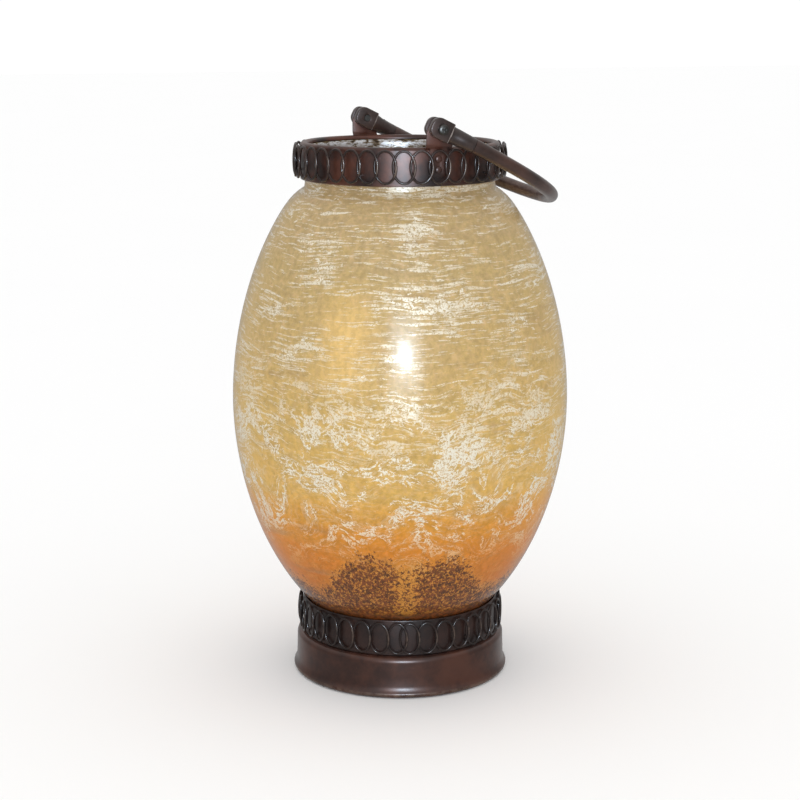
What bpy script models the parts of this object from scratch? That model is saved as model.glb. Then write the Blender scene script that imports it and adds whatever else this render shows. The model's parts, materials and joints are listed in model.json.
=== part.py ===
"""Hurricane candle lantern: a barrel of mottled glass held between a spun metal foot and a
collar, each trimmed with a row of overlapping oval wire rings, under a swinging bail handle.

Metres, +Z up. The origin is the middle of the underside. The bail's pivot axis runs along Y,
and the bail lies dropped towards +X, where its legs rest just outside the collar's rim.
"""

from math import acos, asin, cos, exp, hypot, pi, radians, sin

import bmesh
import bpy
from mathutils import Matrix, Vector

# ---------------------------------------------------------------- driving dimensions
GAP = 0.0003                 # clearance between pieces that seat on each other
STEPS = 36                   # facets round every large turned piece
SMALL_STEPS = 12             # facets round fasteners and washers

# foot and lower band
FELT = 0.0020                # felt under the foot
SHEET = 0.0012               # sheet metal of foot, bands and plates
FOOT_HEIGHT = 0.0268         # floor to the flat top of the foot
FOOT_TOP_RADIUS = 0.0684     # over the shoulder
SHOULDER_ROUND = 0.0042
FOOT_FLARE = 0.0024          # how far the rolled edge stands out below the shoulder
FOOT_ROLL = 0.0021           # radius of the rolled edge
BAND_HEIGHT = 0.0232         # lower band, above the foot

# glass barrel: two half ellipses of revolution that meet at the belly
BELLY_RADIUS = 0.1084
UPPER_REACH = 0.1740         # belly to the upper ellipse's pole
LOWER_REACH = 0.1636         # belly to the lower ellipse's pole
BARREL_POWER = 1.93          # 2 is a true ellipse; a little less is leaner at the shoulders
GLASS_WALL = 0.0028
LOWER_NECK_ROOM = 0.0022     # glass to the lower band's wall
NECK_TUCK = 0.0017           # depth of the barrel's end below the band's top
NECK_DROP = 0.0050           # straight neck that shows below the collar
NECK_FADE = 0.0028           # how quickly the neck turns out into the belly
CORK = 0.0010                # thickness of the seating rings

# candle and its plate
PLATE_RISE = 0.0200          # band floor to the underside of the plate
PLATE_ROOM = 0.0040          # plate to the glass
PLATE_LIP = 0.0035
WELL_RADIUS = 0.0110         # hollow in the plate that hides the nut
WELL_DEPTH = 0.0064
CANDLE_RADIUS = 0.0381
CANDLE_HEIGHT = 0.2030
CANDLE_ROUND = 0.0015
CANDLE_SHIFT = (-0.0121, 0.0047)
WICK_RADIUS = 0.0013
WICK_HEIGHT = 0.0110
WICK_DEPTH = 0.0150

# collar
COLLAR_RADIUS = 0.0633
COLLAR_HEIGHT = 0.0235
RIM_WIDTH = 0.0049           # the rolled rim, from the collar's wall inwards
CORK_HEIGHT = 0.0050

# rows of rings
WIRE = 0.0008                # radius of the ring wire
RING_POINTS = 10
UPPER_RINGS = 38             # even, so that every second ring is clear of the next but one
LOWER_RINGS = 36             # even, for the same reason
UPPER_RING_SHARE = 1.31      # ring width for each unit of pitch
LOWER_RING_SHARE = 1.19
UPPER_STAND_OFF = 0.0037     # collar's wall to the middle of the wire, halfway up a ring
LOWER_STAND_OFF = 0.0024
UPPER_RING_MARGIN = 0.0013   # bare wall below the ring row
UPPER_RING_TOP = 0.0009      # rim crest to the top of the ring row
LOWER_RING_MARGIN = 0.0010
LOWER_RING_TOP = 0.0006
RING_BULGE = 0.0006          # how much nearer the wall a ring is at its top and bottom
RING_LEAN = 0.0004           # how far a ring's side stands out over or under its neighbour
SEAM_STEP = radians(6.7)     # spacing of the lower row's first and last ring
SEAM_AT = radians(-105.8)
STUD_RADIUS = 0.0007         # studs that hold a ring row off its wall
STUDS = 6

# ears
EAR_WIDTH = 0.0165
EAR_THICK = 0.0015
EAR_STEP = 0.00165           # the joggle that carries the ear out past the rim
EAR_ABOVE_PIVOT = 0.0047
EAR_SHOULDER = 0.0005        # the wide part starts this far below the rim's crest
JOGGLE = 0.0035              # height of the joggle
STRAP_WIDTH = 0.0110
STRAP_FOOT = 0.0055          # collar's bottom edge to the strap's lower end
RIVET_RADIUS = 0.0012
RIVET_HEAD_RADIUS = 0.0021
RIVET_HEAD_HEIGHT = 0.0006
RIVET_LEVELS = (0.0100, 0.0165)   # above the collar's bottom edge

# bail
PIVOT_ABOVE_RIM = 0.0110
BAIL_DROOP = radians(26.0)   # below the horizontal, at rest
FORK_WIDTH = 0.0124          # across the flats, in the plane of the swing
FORK_THICK = 0.0120          # along the pivot axis
FORK_BACK = 0.0075           # pivot to the rounded end
FORK_FRONT = 0.0065          # pivot to the end of the flats
FORK_ROUND = 0.0050
SLOT_DEPTH = 0.0136          # pivot to the bottom of the fork's slot
FERRULE_LENGTH = 0.0230      # pivot to the ferrule's mouth
FERRULE_MOUTH = 0.0047       # outer radius there
SPIGOT_RADIUS = 0.0028
SPIGOT_LENGTH = 0.0055
ROD_RADIUS = 0.0042
ROD_TAPER = 0.0250           # length over which the rod narrows from the ferrule's mouth
BAIL_SPREAD = 0.0024         # how much wider the rod stands than its pivots, each side
HAND_ROOM = 0.0492           # collar's wall to the middle of the rod at the apex
BAIL_POWER = 1.9
WASHER_THICK = 0.0008
WASHER_RADIUS = 0.0055
SCREW_RADIUS = 0.0020
SCREW_HEAD_RADIUS = 0.0032
SCREW_HEAD_HEIGHT = 0.0019
DRIVE_WIDTH = 0.0008
DRIVE_DEPTH = 0.0010

# middle bolt
BOLT_RADIUS = 0.0030
BOLT_HEAD = 0.0040           # height of the head and of the nut
BOLT_WASHER = 0.0010
BOLT_WASHER_RADIUS = 0.0065
HEX_RADIUS = 0.0056          # half the width across corners
SPACER_RADIUS = 0.0060

# ---------------------------------------------------------------- derived dimensions
BAND_RADIUS = FOOT_TOP_RADIUS - SHOULDER_ROUND
BAND_TOP = FOOT_HEIGHT + BAND_HEIGHT
BAND_FLOOR = FOOT_HEIGHT + GAP
BAND_FLOOR_TOP = BAND_FLOOR + SHEET
LOWER_NECK = BAND_RADIUS - SHEET - LOWER_NECK_ROOM
UPPER_NECK = COLLAR_RADIUS - SHEET - CORK - 2 * GAP


def reach_to(neck, reach):
    """Height from the belly to the level where the barrel has narrowed to the neck's radius."""
    return reach * (1 - (neck / BELLY_RADIUS) ** BARREL_POWER) ** (1 / BARREL_POWER)


BELLY_HEIGHT = BAND_TOP - NECK_TUCK + reach_to(LOWER_NECK, LOWER_REACH)
COLLAR_BOTTOM = BELLY_HEIGHT + reach_to(UPPER_NECK, UPPER_REACH)
RIM_CREST = COLLAR_BOTTOM + COLLAR_HEIGHT
RIM_ROUND = RIM_WIDTH / 2
RIM_LEVEL = RIM_CREST - RIM_ROUND                 # where the collar's wall starts to roll in
GLASS_TOP = RIM_LEVEL - 2 * GAP
GLASS_BOTTOM = BAND_FLOOR_TOP + CORK + 2 * GAP
PLATE_UNDER = BAND_FLOOR_TOP + PLATE_RISE
PLATE_TOP = PLATE_UNDER + SHEET
PLATE_RADIUS = LOWER_NECK - GLASS_WALL - PLATE_ROOM
WELL_TOP = PLATE_TOP - WELL_DEPTH
CANDLE_BOTTOM = PLATE_TOP + GAP
CANDLE_TOP = CANDLE_BOTTOM + CANDLE_HEIGHT
PIVOT_HEIGHT = RIM_CREST + PIVOT_ABOVE_RIM
EAR_FACE = COLLAR_RADIUS + GAP                    # inner face of the strap
EAR_MIDDLE = EAR_FACE + EAR_STEP + EAR_THICK / 2  # middle of the ear's thickness at the pivot
SLOT_HALF = EAR_THICK / 2 + WASHER_THICK + 2 * GAP
BAIL_HALF_WIDTH = EAR_MIDDLE + BAIL_SPREAD
BAIL_REACH = COLLAR_RADIUS + HAND_ROOM

BRONZE = (0.030, 0.017, 0.012)
GLASS = (0.58, 0.42, 0.20)
STEEL = (0.30, 0.28, 0.26)
CORK_BROWN = (0.33, 0.20, 0.10)
FELT_BLACK = (0.020, 0.018, 0.017)
WAX = (0.80, 0.68, 0.46)
COTTON = (0.75, 0.72, 0.64)


# ---------------------------------------------------------------- scene and materials
def new_collection(name, hidden=False):
    made = bpy.data.collections.new(name)
    bpy.context.scene.collection.children.link(made)
    made.hide_render = hidden
    return made


for leftover in list(bpy.data.objects):
    bpy.data.objects.remove(leftover, do_unlink=True)
LANTERN = new_collection("candle_lantern")
CUTTERS = new_collection("cutters", hidden=True)


def finish(name, colour, roughness, metallic=0.0):
    """A plain material named for the piece that wears it."""
    made = bpy.data.materials.new(name)
    made.use_nodes = True
    shader = made.node_tree.nodes["Principled BSDF"]
    shader.inputs["Base Color"].default_value = (*colour, 1.0)
    shader.inputs["Roughness"].default_value = roughness
    shader.inputs["Metallic"].default_value = metallic
    made.diffuse_color = (*colour, 1.0)
    return made


def bronze(name):
    return finish(name, BRONZE, 0.34, 0.85)


def steel(name):
    return finish(name, STEEL, 0.38, 1.0)


# ---------------------------------------------------------------- shape helpers
def place(name, mesh, look=None):
    """An object in the lantern, or in the cutters when it has no material."""
    obj = bpy.data.objects.new(name, mesh)
    if look is None:
        CUTTERS.objects.link(obj)
        obj.hide_render = True
        obj.display_type = "WIRE"
    else:
        LANTERN.objects.link(obj)
        mesh.materials.append(look)
    return obj


def boolean(obj, other, operation):
    step = obj.modifiers.new(operation.title(), "BOOLEAN")
    step.operation = operation
    step.object = other
    step.solver = "EXACT"
    return obj


def baked(obj):
    """The object with its modifiers applied, so that its mesh can be shared or moved."""
    graph = bpy.context.evaluated_depsgraph_get()
    obj.data = bpy.data.meshes.new_from_object(obj.evaluated_get(graph))
    obj.modifiers.clear()
    return obj


def arc(r, z, radius, start, end, count):
    """Points (r, z) along an arc, from the start angle to the end angle, in degrees."""
    turns = [radians(start + (end - start) * i / count) for i in range(count + 1)]
    return [(r + radius * cos(turn), z + radius * sin(turn)) for turn in turns]


def turned(name, outline, look=None, steps=STEPS, solid=False):
    """Turns a closed outline of (r, z) points about Z. A solid outline runs from axis to axis."""
    last = len(outline) - 1
    edges = [(i, i + 1) for i in range(last)]
    if not solid:
        edges.append((last, 0))
    mesh = bpy.data.meshes.new(name)
    mesh.from_pydata([(r, 0.0, z) for r, z in outline], edges, [])
    obj = place(name, mesh, look)
    turn = obj.modifiers.new("Turn", "SCREW")
    turn.axis = "Z"
    turn.angle = 2 * pi
    turn.steps = steps
    turn.render_steps = steps
    turn.use_merge_vertices = solid
    turn.merge_threshold = 0.00001
    return obj


def washer(name, outer, inner, bottom, top, look, steps=STEPS):
    return turned(name, [(outer, top), (outer, bottom), (inner, bottom), (inner, top)], look, steps)


def cylinder(name, radius, start, end, look=None, steps=SMALL_STEPS):
    """A round bar between two points."""
    start, end = Vector(start), Vector(end)
    along = end - start
    mesh = bpy.data.meshes.new(name)
    shape = bmesh.new()
    bmesh.ops.create_cone(
        shape, cap_ends=True, segments=steps, radius1=radius, radius2=radius, depth=along.length
    )
    turn = along.to_track_quat("Z", "Y").to_matrix().to_4x4()
    shape.transform(Matrix.Translation((start + end) / 2) @ turn)
    shape.to_mesh(mesh)
    shape.free()
    return place(name, mesh, look)


def box(name, low, high, look=None):
    low, high = Vector(low), Vector(high)
    mesh = bpy.data.meshes.new(name)
    shape = bmesh.new()
    bmesh.ops.create_cube(shape, size=1.0)
    size = Matrix.Diagonal((*(high - low), 1.0))
    shape.transform(Matrix.Translation((low + high) / 2) @ size)
    shape.to_mesh(mesh)
    shape.free()
    return place(name, mesh, look)


def mesh_of_curve(name, curve):
    """The curve's tube or plate as a mesh with its caps welded on."""
    guide = bpy.data.objects.new(name + "_curve", curve)
    LANTERN.objects.link(guide)
    graph = bpy.context.evaluated_depsgraph_get()
    mesh = bpy.data.meshes.new_from_object(guide.evaluated_get(graph))
    bpy.data.objects.remove(guide)
    shape = bmesh.new()
    shape.from_mesh(mesh)
    bmesh.ops.remove_doubles(shape, verts=shape.verts, dist=0.000001)
    shape.to_mesh(mesh)
    shape.free()
    return mesh


def plate(name, outline, half_thickness, matrix, look=None):
    """A flat outline in XY, extruded both ways along Z, then laid by the matrix."""
    curve = bpy.data.curves.new(name, "CURVE")
    curve.dimensions = "2D"
    curve.fill_mode = "BOTH"
    curve.extrude = half_thickness
    spline = curve.splines.new("POLY")
    spline.points.add(len(outline) - 1)
    for point, (x, y) in zip(spline.points, outline):
        point.co = (x, y, 0.0, 1.0)
    spline.use_cyclic_u = True
    mesh = mesh_of_curve(name, curve)
    mesh.transform(matrix)
    return place(name, mesh, look)


def tube(name, points, radii, sides, closed=False):
    """The mesh of a wire or rod through the points, with a radius at each."""
    curve = bpy.data.curves.new(name, "CURVE")
    curve.dimensions = "3D"
    curve.bevel_depth = radii[0]
    curve.bevel_resolution = (sides - 4) // 2
    curve.use_fill_caps = True
    spline = curve.splines.new("POLY")
    spline.points.add(len(points) - 1)
    for point, place_of, radius in zip(spline.points, points, radii):
        point.co = (*place_of, 1.0)
        point.radius = radius / radii[0]
    spline.use_cyclic_u = closed
    return mesh_of_curve(name, curve)


def joined(name, meshes):
    """One cutter object that holds several meshes which don't touch."""
    shape = bmesh.new()
    for mesh in meshes:
        shape.from_mesh(mesh)
    mesh = bpy.data.meshes.new(name)
    shape.to_mesh(mesh)
    shape.free()
    return place(name, mesh)


# ---------------------------------------------------------------- foot and lower band
def foot_shell():
    """A spun cap with a flared skirt and a rolled edge."""
    skirt_top = FOOT_HEIGHT - SHOULDER_ROUND
    roll_middle = FOOT_TOP_RADIUS + FOOT_FLARE - FOOT_ROLL
    roll_level = FOOT_ROLL + GAP
    under = FOOT_HEIGHT - SHEET
    inner_round = SHOULDER_ROUND - SHEET
    flare_level = skirt_top / 3
    outline = [(BOLT_RADIUS + GAP, FOOT_HEIGHT)]
    outline += arc(BAND_RADIUS, skirt_top, SHOULDER_ROUND, 90, 0, 3)
    outline += [(FOOT_TOP_RADIUS + FOOT_FLARE / 6, flare_level)]
    outline += arc(roll_middle, roll_level, FOOT_ROLL, 60, -180, 6)
    outline += [(FOOT_TOP_RADIUS + FOOT_FLARE / 6 - SHEET, flare_level)]
    outline += arc(BAND_RADIUS, skirt_top, inner_round, 0, 90, 2)
    outline += [(BOLT_RADIUS + GAP, under)]
    return turned("foot_shell", outline, bronze("foot_shell"))


def foot_closing():
    """The disc that closes the foot, seated inside the rolled edge, and the felt under it."""
    edge = FOOT_TOP_RADIUS + FOOT_FLARE - 2 * FOOT_ROLL - GAP
    low = FELT + GAP
    disc = [(0.0, low + SHEET), (edge, low + SHEET), (edge, low), (0.0, low)]
    turned("base_plate", disc, steel("base_plate"), solid=True)
    felt = [(0.0, FELT), (edge - SHEET, FELT), (edge - SHEET, 0.0), (0.0, 0.0)]
    turned("base_felt", felt, finish("base_felt", FELT_BLACK, 0.95), solid=True)


def lower_band():
    """A cup on the foot that holds the glass's lower neck."""
    inner = BAND_RADIUS - SHEET
    lip = SHEET / 2
    outline = arc(BAND_RADIUS - lip, BAND_TOP - lip, lip, 180, 0, 2)
    outline += [(BAND_RADIUS, BAND_FLOOR), (BOLT_RADIUS + GAP, BAND_FLOOR)]
    outline += [(BOLT_RADIUS + GAP, BAND_FLOOR_TOP), (inner, BAND_FLOOR_TOP)]
    return turned("lower_band", outline, bronze("lower_band"))


def candle_plate():
    """A lipped dish with a well in the middle for the nut."""
    hole = BOLT_RADIUS + GAP
    well_under = WELL_TOP - SHEET
    outline = [
        (PLATE_RADIUS, PLATE_TOP + PLATE_LIP),
        (PLATE_RADIUS, PLATE_UNDER),
        (WELL_RADIUS + SHEET, PLATE_UNDER),
        (WELL_RADIUS + SHEET, well_under),
        (hole, well_under),
        (hole, WELL_TOP),
        (WELL_RADIUS, WELL_TOP),
        (WELL_RADIUS, PLATE_TOP),
        (PLATE_RADIUS - SHEET, PLATE_TOP),
        (PLATE_RADIUS - SHEET, PLATE_TOP + PLATE_LIP),
    ]
    return turned("candle_plate", outline, bronze("candle_plate"))


def middle_bolt():
    """The bolt, washers, spacer and nut that clamp plate, band and foot together."""
    hole = BOLT_RADIUS + GAP
    washer_top = FOOT_HEIGHT - SHEET - GAP
    washer_low = washer_top - BOLT_WASHER
    head_top = washer_low - GAP
    zinc = steel("centre_bolt")
    washer("bolt_washer", BOLT_WASHER_RADIUS, hole, washer_low, washer_top, zinc, SMALL_STEPS)
    spacer_top = WELL_TOP - SHEET - GAP
    spacer_low = BAND_FLOOR_TOP + GAP
    washer("plate_spacer", SPACER_RADIUS, hole, spacer_low, spacer_top, zinc, SMALL_STEPS)
    low = WELL_TOP + GAP
    top = low + BOLT_WASHER
    washer("nut_washer", BOLT_WASHER_RADIUS, hole, low, top, zinc, SMALL_STEPS)
    nut_low = top + GAP
    nut = cylinder("centre_nut", HEX_RADIUS, (0, 0, nut_low), (0, 0, nut_low + BOLT_HEAD), zinc, 6)
    bore = cylinder("nut_bore", hole, (0, 0, nut_low - 0.001), (0, 0, nut_low + 0.006))
    boolean(nut, bore, "DIFFERENCE")
    head_low = (0, 0, head_top - BOLT_HEAD)
    bolt = cylinder("centre_bolt", HEX_RADIUS, head_low, (0, 0, head_top), zinc, 6)
    shank_low = (0, 0, head_top - BOLT_HEAD / 2)
    shank = cylinder("bolt_shank", BOLT_RADIUS, shank_low, (0, 0, nut_low + BOLT_HEAD))
    boolean(bolt, shank, "UNION")


# ---------------------------------------------------------------- glass
def barrel_outline(levels=5):
    """The barrel's outer line, from the neck below the collar down to the lower band."""
    def half(reach, neck, sign):
        end = asin((reach_to(neck, reach) / reach) ** (BARREL_POWER / 2))
        for i in range(levels + 1):
            turn = end * i / levels
            r = BELLY_RADIUS * cos(turn) ** (2 / BARREL_POWER)
            yield r, BELLY_HEIGHT + sign * reach * sin(turn) ** (2 / BARREL_POWER)
    shoulder = COLLAR_BOTTOM - NECK_DROP
    upper = [(r, z) for r, z in half(UPPER_REACH, UPPER_NECK, 1) if z < shoulder - 4 * NECK_FADE]
    line = [(UPPER_NECK, shoulder)]
    for share in (0.4, 1.0, 2.0, 3.6):
        z = shoulder - share * NECK_FADE
        rise = (z - BELLY_HEIGHT) / UPPER_REACH
        belly = BELLY_RADIUS * (1 - rise ** BARREL_POWER) ** (1 / BARREL_POWER)
        line.append((belly + (UPPER_NECK - belly) * exp(-share), z))
    return line + upper[::-1] + list(half(LOWER_REACH, LOWER_NECK, -1))[1:]


def set_in(line, wall):
    """The line moved towards the axis by the wall, square to itself."""
    moved = []
    for i, (r, z) in enumerate(line):
        before = line[max(i - 1, 0)]
        after = line[min(i + 1, len(line) - 1)]
        dr, dz = after[0] - before[0], after[1] - before[1]
        length = hypot(dr, dz)
        moved.append((r + wall * dz / length, z - wall * dr / length))
    return moved


def glass_barrel():
    barrel = barrel_outline()
    outer = [(UPPER_NECK, GLASS_TOP)] + barrel + [(LOWER_NECK, GLASS_BOTTOM)]
    inner = set_in(barrel, GLASS_WALL)
    inner = [(UPPER_NECK - GLASS_WALL, GLASS_TOP)] + inner + [(LOWER_NECK - GLASS_WALL, GLASS_BOTTOM)]
    return turned("glass_barrel", outer + inner[::-1], finish("glass_barrel", GLASS, 0.12))


def seating_rings():
    look = finish("seating_ring", CORK_BROWN, 0.9)
    low = BAND_FLOOR_TOP + GAP
    washer("glass_seat", LOWER_NECK + CORK, LOWER_NECK - GLASS_WALL, low, low + CORK, look)
    low = COLLAR_BOTTOM + CORK
    inner = UPPER_NECK + GAP
    washer("collar_packing", inner + CORK, inner, low, low + CORK_HEIGHT, look)


# ---------------------------------------------------------------- collar, ears and rivets
def collar_band():
    """A cylinder whose top edge rolls inwards over the glass, with holes for the rivets."""
    middle = COLLAR_RADIUS - RIM_ROUND
    outline = arc(middle, RIM_LEVEL, RIM_ROUND, 180, 0, 6)
    outline += [(COLLAR_RADIUS, COLLAR_BOTTOM), (COLLAR_RADIUS - SHEET, COLLAR_BOTTOM)]
    outline += arc(middle, RIM_LEVEL, RIM_ROUND - SHEET, 0, 180, 4)
    band = turned("collar_band", outline, bronze("collar_band"))
    for i, level in enumerate(RIVET_LEVELS):
        z = COLLAR_BOTTOM + level
        reach = COLLAR_RADIUS + 0.005
        drill = cylinder(f"rivet_drill_{i}", RIVET_RADIUS + GAP, (0, -reach, z), (0, reach, z))
        boolean(band, drill, "DIFFERENCE")
    return band


def ear_front_outline():
    """The ear seen along Y: a narrow strap under a wide rounded tab."""
    tab = EAR_WIDTH / 2
    strap = STRAP_WIDTH / 2
    top = PIVOT_HEIGHT + EAR_ABOVE_PIVOT
    step = RIM_CREST - EAR_SHOULDER
    low = COLLAR_BOTTOM + STRAP_FOOT
    outline = [(-strap, low), (strap, low), (strap, step), (tab, step)]
    outline += arc(0.0, top - tab, tab, 0, 180, 10)
    return outline + [(-tab, step), (-strap, step)]


def ear_side_outline():
    """The ear seen along X, as (y, z): a strip with a joggle that clears the rim."""
    low, high = COLLAR_BOTTOM, PIVOT_HEIGHT + 2 * EAR_ABOVE_PIVOT
    bend = RIM_CREST - EAR_SHOULDER - EAR_STEP / 2
    near, far = EAR_FACE, EAR_FACE + EAR_STEP
    inner = [(near, low), (near, bend), (far, bend + JOGGLE), (far, high)]
    return inner + [(y + EAR_THICK, z) for y, z in reversed(inner)]


def ears():
    """Two ears of one shape, half a turn apart."""
    along_x = Matrix(((0, 0, 1, 0), (1, 0, 0, 0), (0, 1, 0, 0), (0, 0, 0, 1)))
    along_y = Matrix(((1, 0, 0, 0), (0, 0, -1, 0), (0, 1, 0, 0), (0, 0, 0, 1)))
    ear = plate("ear_rear", ear_side_outline(), EAR_WIDTH, along_x, bronze("ear"))
    face = plate("ear_face", ear_front_outline(), 2 * COLLAR_RADIUS, along_y)
    boolean(ear, face, "INTERSECT")
    reach = 2 * COLLAR_RADIUS
    z = PIVOT_HEIGHT
    hole = cylinder("pivot_hole", SCREW_RADIUS + GAP, (0, 0, z), (0, reach, z))
    boolean(ear, hole, "DIFFERENCE")
    for i, level in enumerate(RIVET_LEVELS):
        z = COLLAR_BOTTOM + level
        drill = cylinder(f"ear_drill_{i}", RIVET_RADIUS + GAP, (0, 0, z), (0, reach, z))
        boolean(ear, drill, "DIFFERENCE")
    baked(ear)
    other = bpy.data.objects.new("ear_front", ear.data)
    other.rotation_euler.z = pi
    LANTERN.objects.link(other)


def rivets():
    """Flat-headed rivets through strap and collar, heads outside and inside."""
    outer = EAR_FACE + EAR_THICK + GAP
    inner = COLLAR_RADIUS - SHEET - GAP
    head, shank, high = RIVET_HEAD_RADIUS, RIVET_RADIUS, RIVET_HEAD_HEIGHT
    outline = [
        (0.0, outer + high), (head * 0.7, outer + high), (head, outer), (shank, outer),
        (shank, inner), (head, inner), (head, inner - high), (0.0, inner - high),
    ]
    rivet = turned("ear_rivet_1", outline, bronze("ear_rivet"), SMALL_STEPS, solid=True)
    spots = [(side, level) for side in (1, -1) for level in RIVET_LEVELS]
    for number, (side, level) in enumerate(spots, 1):
        if number > 1:
            rivet = rivet.copy()
            rivet.name = f"ear_rivet_{number}"
            LANTERN.objects.link(rivet)
        rivet.rotation_euler.x = -side * pi / 2
        rivet.location.z = COLLAR_BOTTOM + level


# ---------------------------------------------------------------- rows of rings
def ring_row(name, wall, low, high, share, stand_off, angles, pitch):
    """Overlapping ovals of wire round a wall, brazed to each other and held off it by studs."""
    middle = wall + stand_off
    level = (low + high) / 2
    half_height = ((high - low) / 2 - WIRE) / cos(pi / RING_POINTS)
    half_width = middle * pitch * share / 2 - WIRE

    def on_wall(angle, u, h):
        r = middle - RING_BULGE * (h / half_height) ** 2 + RING_LEAN * u / half_width
        turn = angle + u / middle
        return r * cos(turn), r * sin(turn), level + h

    def ring(angle):
        turns = [2 * pi * i / RING_POINTS for i in range(RING_POINTS)]
        points = [on_wall(angle, half_width * cos(t), half_height * sin(t)) for t in turns]
        return tube("ring", points, [WIRE] * RING_POINTS, 4, closed=True)

    rings = [ring(angle) for angle in angles]
    row = joined(name + "_even", rings[0::2])
    others = joined(name + "_odd", rings[1::2])
    step = 2 * pi / RING_POINTS
    side = acos(middle * pitch / 2 / half_width) // step * step
    lower, upper = Vector((cos(side), sin(side))), Vector((cos(side + step), sin(side + step)))
    part = (lower.x - middle * pitch / 2 / half_width) / (lower.x - upper.x)
    crossing = -half_height * lower.lerp(upper, part).y
    studs = []
    for i in range(STUDS):
        k = i * (len(angles) - 1) // STUDS + 3
        between = angles[k] + pitch / 2
        x, y, z = on_wall(between, 0.0, crossing)
        root = (wall + GAP) / hypot(x, y)
        stud = cylinder(f"{name}_stud_{i}", STUD_RADIUS, (x * root, y * root, z), (x, y, z), steps=6)
        studs.append(stud.data)
    row.name = name
    CUTTERS.objects.unlink(row)
    LANTERN.objects.link(row)
    row.hide_render = False
    row.display_type = "TEXTURED"
    row.data.materials.append(bronze(name))
    boolean(row, others, "UNION")
    boolean(row, joined(name + "_studs", studs), "UNION")
    return row


def ring_rows():
    pitch = 2 * pi / UPPER_RINGS
    angles = [k * pitch - pi / 2 for k in range(UPPER_RINGS)]
    low, high = COLLAR_BOTTOM + UPPER_RING_MARGIN, RIM_CREST - UPPER_RING_TOP
    ring_row(
        "upper_ring_row", COLLAR_RADIUS, low, high, UPPER_RING_SHARE, UPPER_STAND_OFF, angles, pitch
    )
    pitch = (2 * pi - SEAM_STEP) / (LOWER_RINGS - 1)
    angles = [SEAM_AT + k * pitch for k in range(LOWER_RINGS)]
    low, high = FOOT_HEIGHT + LOWER_RING_MARGIN, BAND_TOP - LOWER_RING_TOP
    ring_row(
        "lower_ring_row", BAND_RADIUS, low, high, LOWER_RING_SHARE, LOWER_STAND_OFF, angles, pitch
    )


# ---------------------------------------------------------------- bail
def spread(s):
    """How far outside its pivot the leg's middle runs, s along the leg from the pivot."""
    t = min(max((s - FORK_FRONT) / (FERRULE_LENGTH - FORK_FRONT) / 0.75, 0.0), 1.0)
    return BAIL_SPREAD * t * t * (3 - 2 * t)


def ferrule(name, side, pivot):
    """A fork with flat cheeks that turns round and tapers to a socket for the rod."""
    half = FORK_WIDTH / 2
    middle = side * EAR_MIDDLE
    outline = [(FORK_FRONT, -half), (FORK_FRONT, half)]
    outline += arc(FORK_ROUND - FORK_BACK, half - FORK_ROUND, FORK_ROUND, 90, 180, 5)
    outline += arc(FORK_ROUND - FORK_BACK, FORK_ROUND - half, FORK_ROUND, 180, 270, 5)
    upright = Matrix(((1, 0, 0, 0), (0, 0, -1, middle), (0, 1, 0, 0), (0, 0, 0, 1)))
    fork = plate(name, outline, FORK_THICK / 2, upright, bronze(name))
    start = FORK_FRONT - 0.002
    length = FERRULE_LENGTH - start
    stations = [start + length * i / 5 for i in range(6)]
    taper = FERRULE_MOUTH - FORK_THICK / 2
    radii = [FORK_THICK / 2 + taper * sin(pi / 2 * (s - start) / length) for s in stations]
    points = [(s, middle + side * spread(s), 0.0) for s in stations]
    cone = place(name + "_cone", tube("cone", points, radii, 16))
    boolean(fork, cone, "UNION")
    slot_low = (-2 * FORK_BACK, middle - SLOT_HALF, -FORK_WIDTH)
    slot = box(name + "_slot", slot_low, (SLOT_DEPTH, middle + SLOT_HALF, FORK_WIDTH))
    boolean(fork, slot, "DIFFERENCE")
    reach = FORK_THICK
    low, high = (0, middle - reach, 0), (0, middle + reach, 0)
    boolean(fork, cylinder(name + "_bore", SCREW_RADIUS + GAP, low, high), "DIFFERENCE")
    y = side * BAIL_HALF_WIDTH
    bottom = (FERRULE_LENGTH - SPIGOT_LENGTH - GAP, y, 0)
    mouth = (FERRULE_LENGTH + 0.001, y, 0)
    socket = cylinder(name + "_socket", SPIGOT_RADIUS + GAP, bottom, mouth)
    boolean(fork, socket, "DIFFERENCE")
    baked(fork)
    fork.parent = pivot
    return fork


def bail_rod(pivot):
    """The hoop: a spigot in each ferrule, then one smooth round bar from leg to leg."""
    mouth = FERRULE_LENGTH + GAP
    count = 28
    leg = []
    for i in range(count // 2 + 1):
        turn = pi / 2 * i / (count // 2)
        s = mouth + (BAIL_REACH - mouth) * sin(turn) ** (2 / BAIL_POWER)
        y = BAIL_HALF_WIDTH * cos(turn) ** (2 / BAIL_POWER)
        narrowing = min((s - mouth) / ROD_TAPER, 1.0)
        leg.append((s, y, FERRULE_MOUTH + (ROD_RADIUS - FERRULE_MOUTH) * narrowing))
    spigot_start = FERRULE_LENGTH - SPIGOT_LENGTH
    spigot = [(spigot_start, BAIL_HALF_WIDTH, SPIGOT_RADIUS)]
    spigot += [(mouth - 0.00005, BAIL_HALF_WIDTH, SPIGOT_RADIUS)]
    leg = spigot + leg
    route = leg + [(s, -y, r) for s, y, r in reversed(leg[:-1])]
    mesh = tube("bail_rod", [(s, y, 0.0) for s, y, r in route], [r for s, y, r in route], 12)
    rod = place("bail_rod", mesh, bronze("bail_rod"))
    rod.parent = pivot
    return rod


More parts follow.
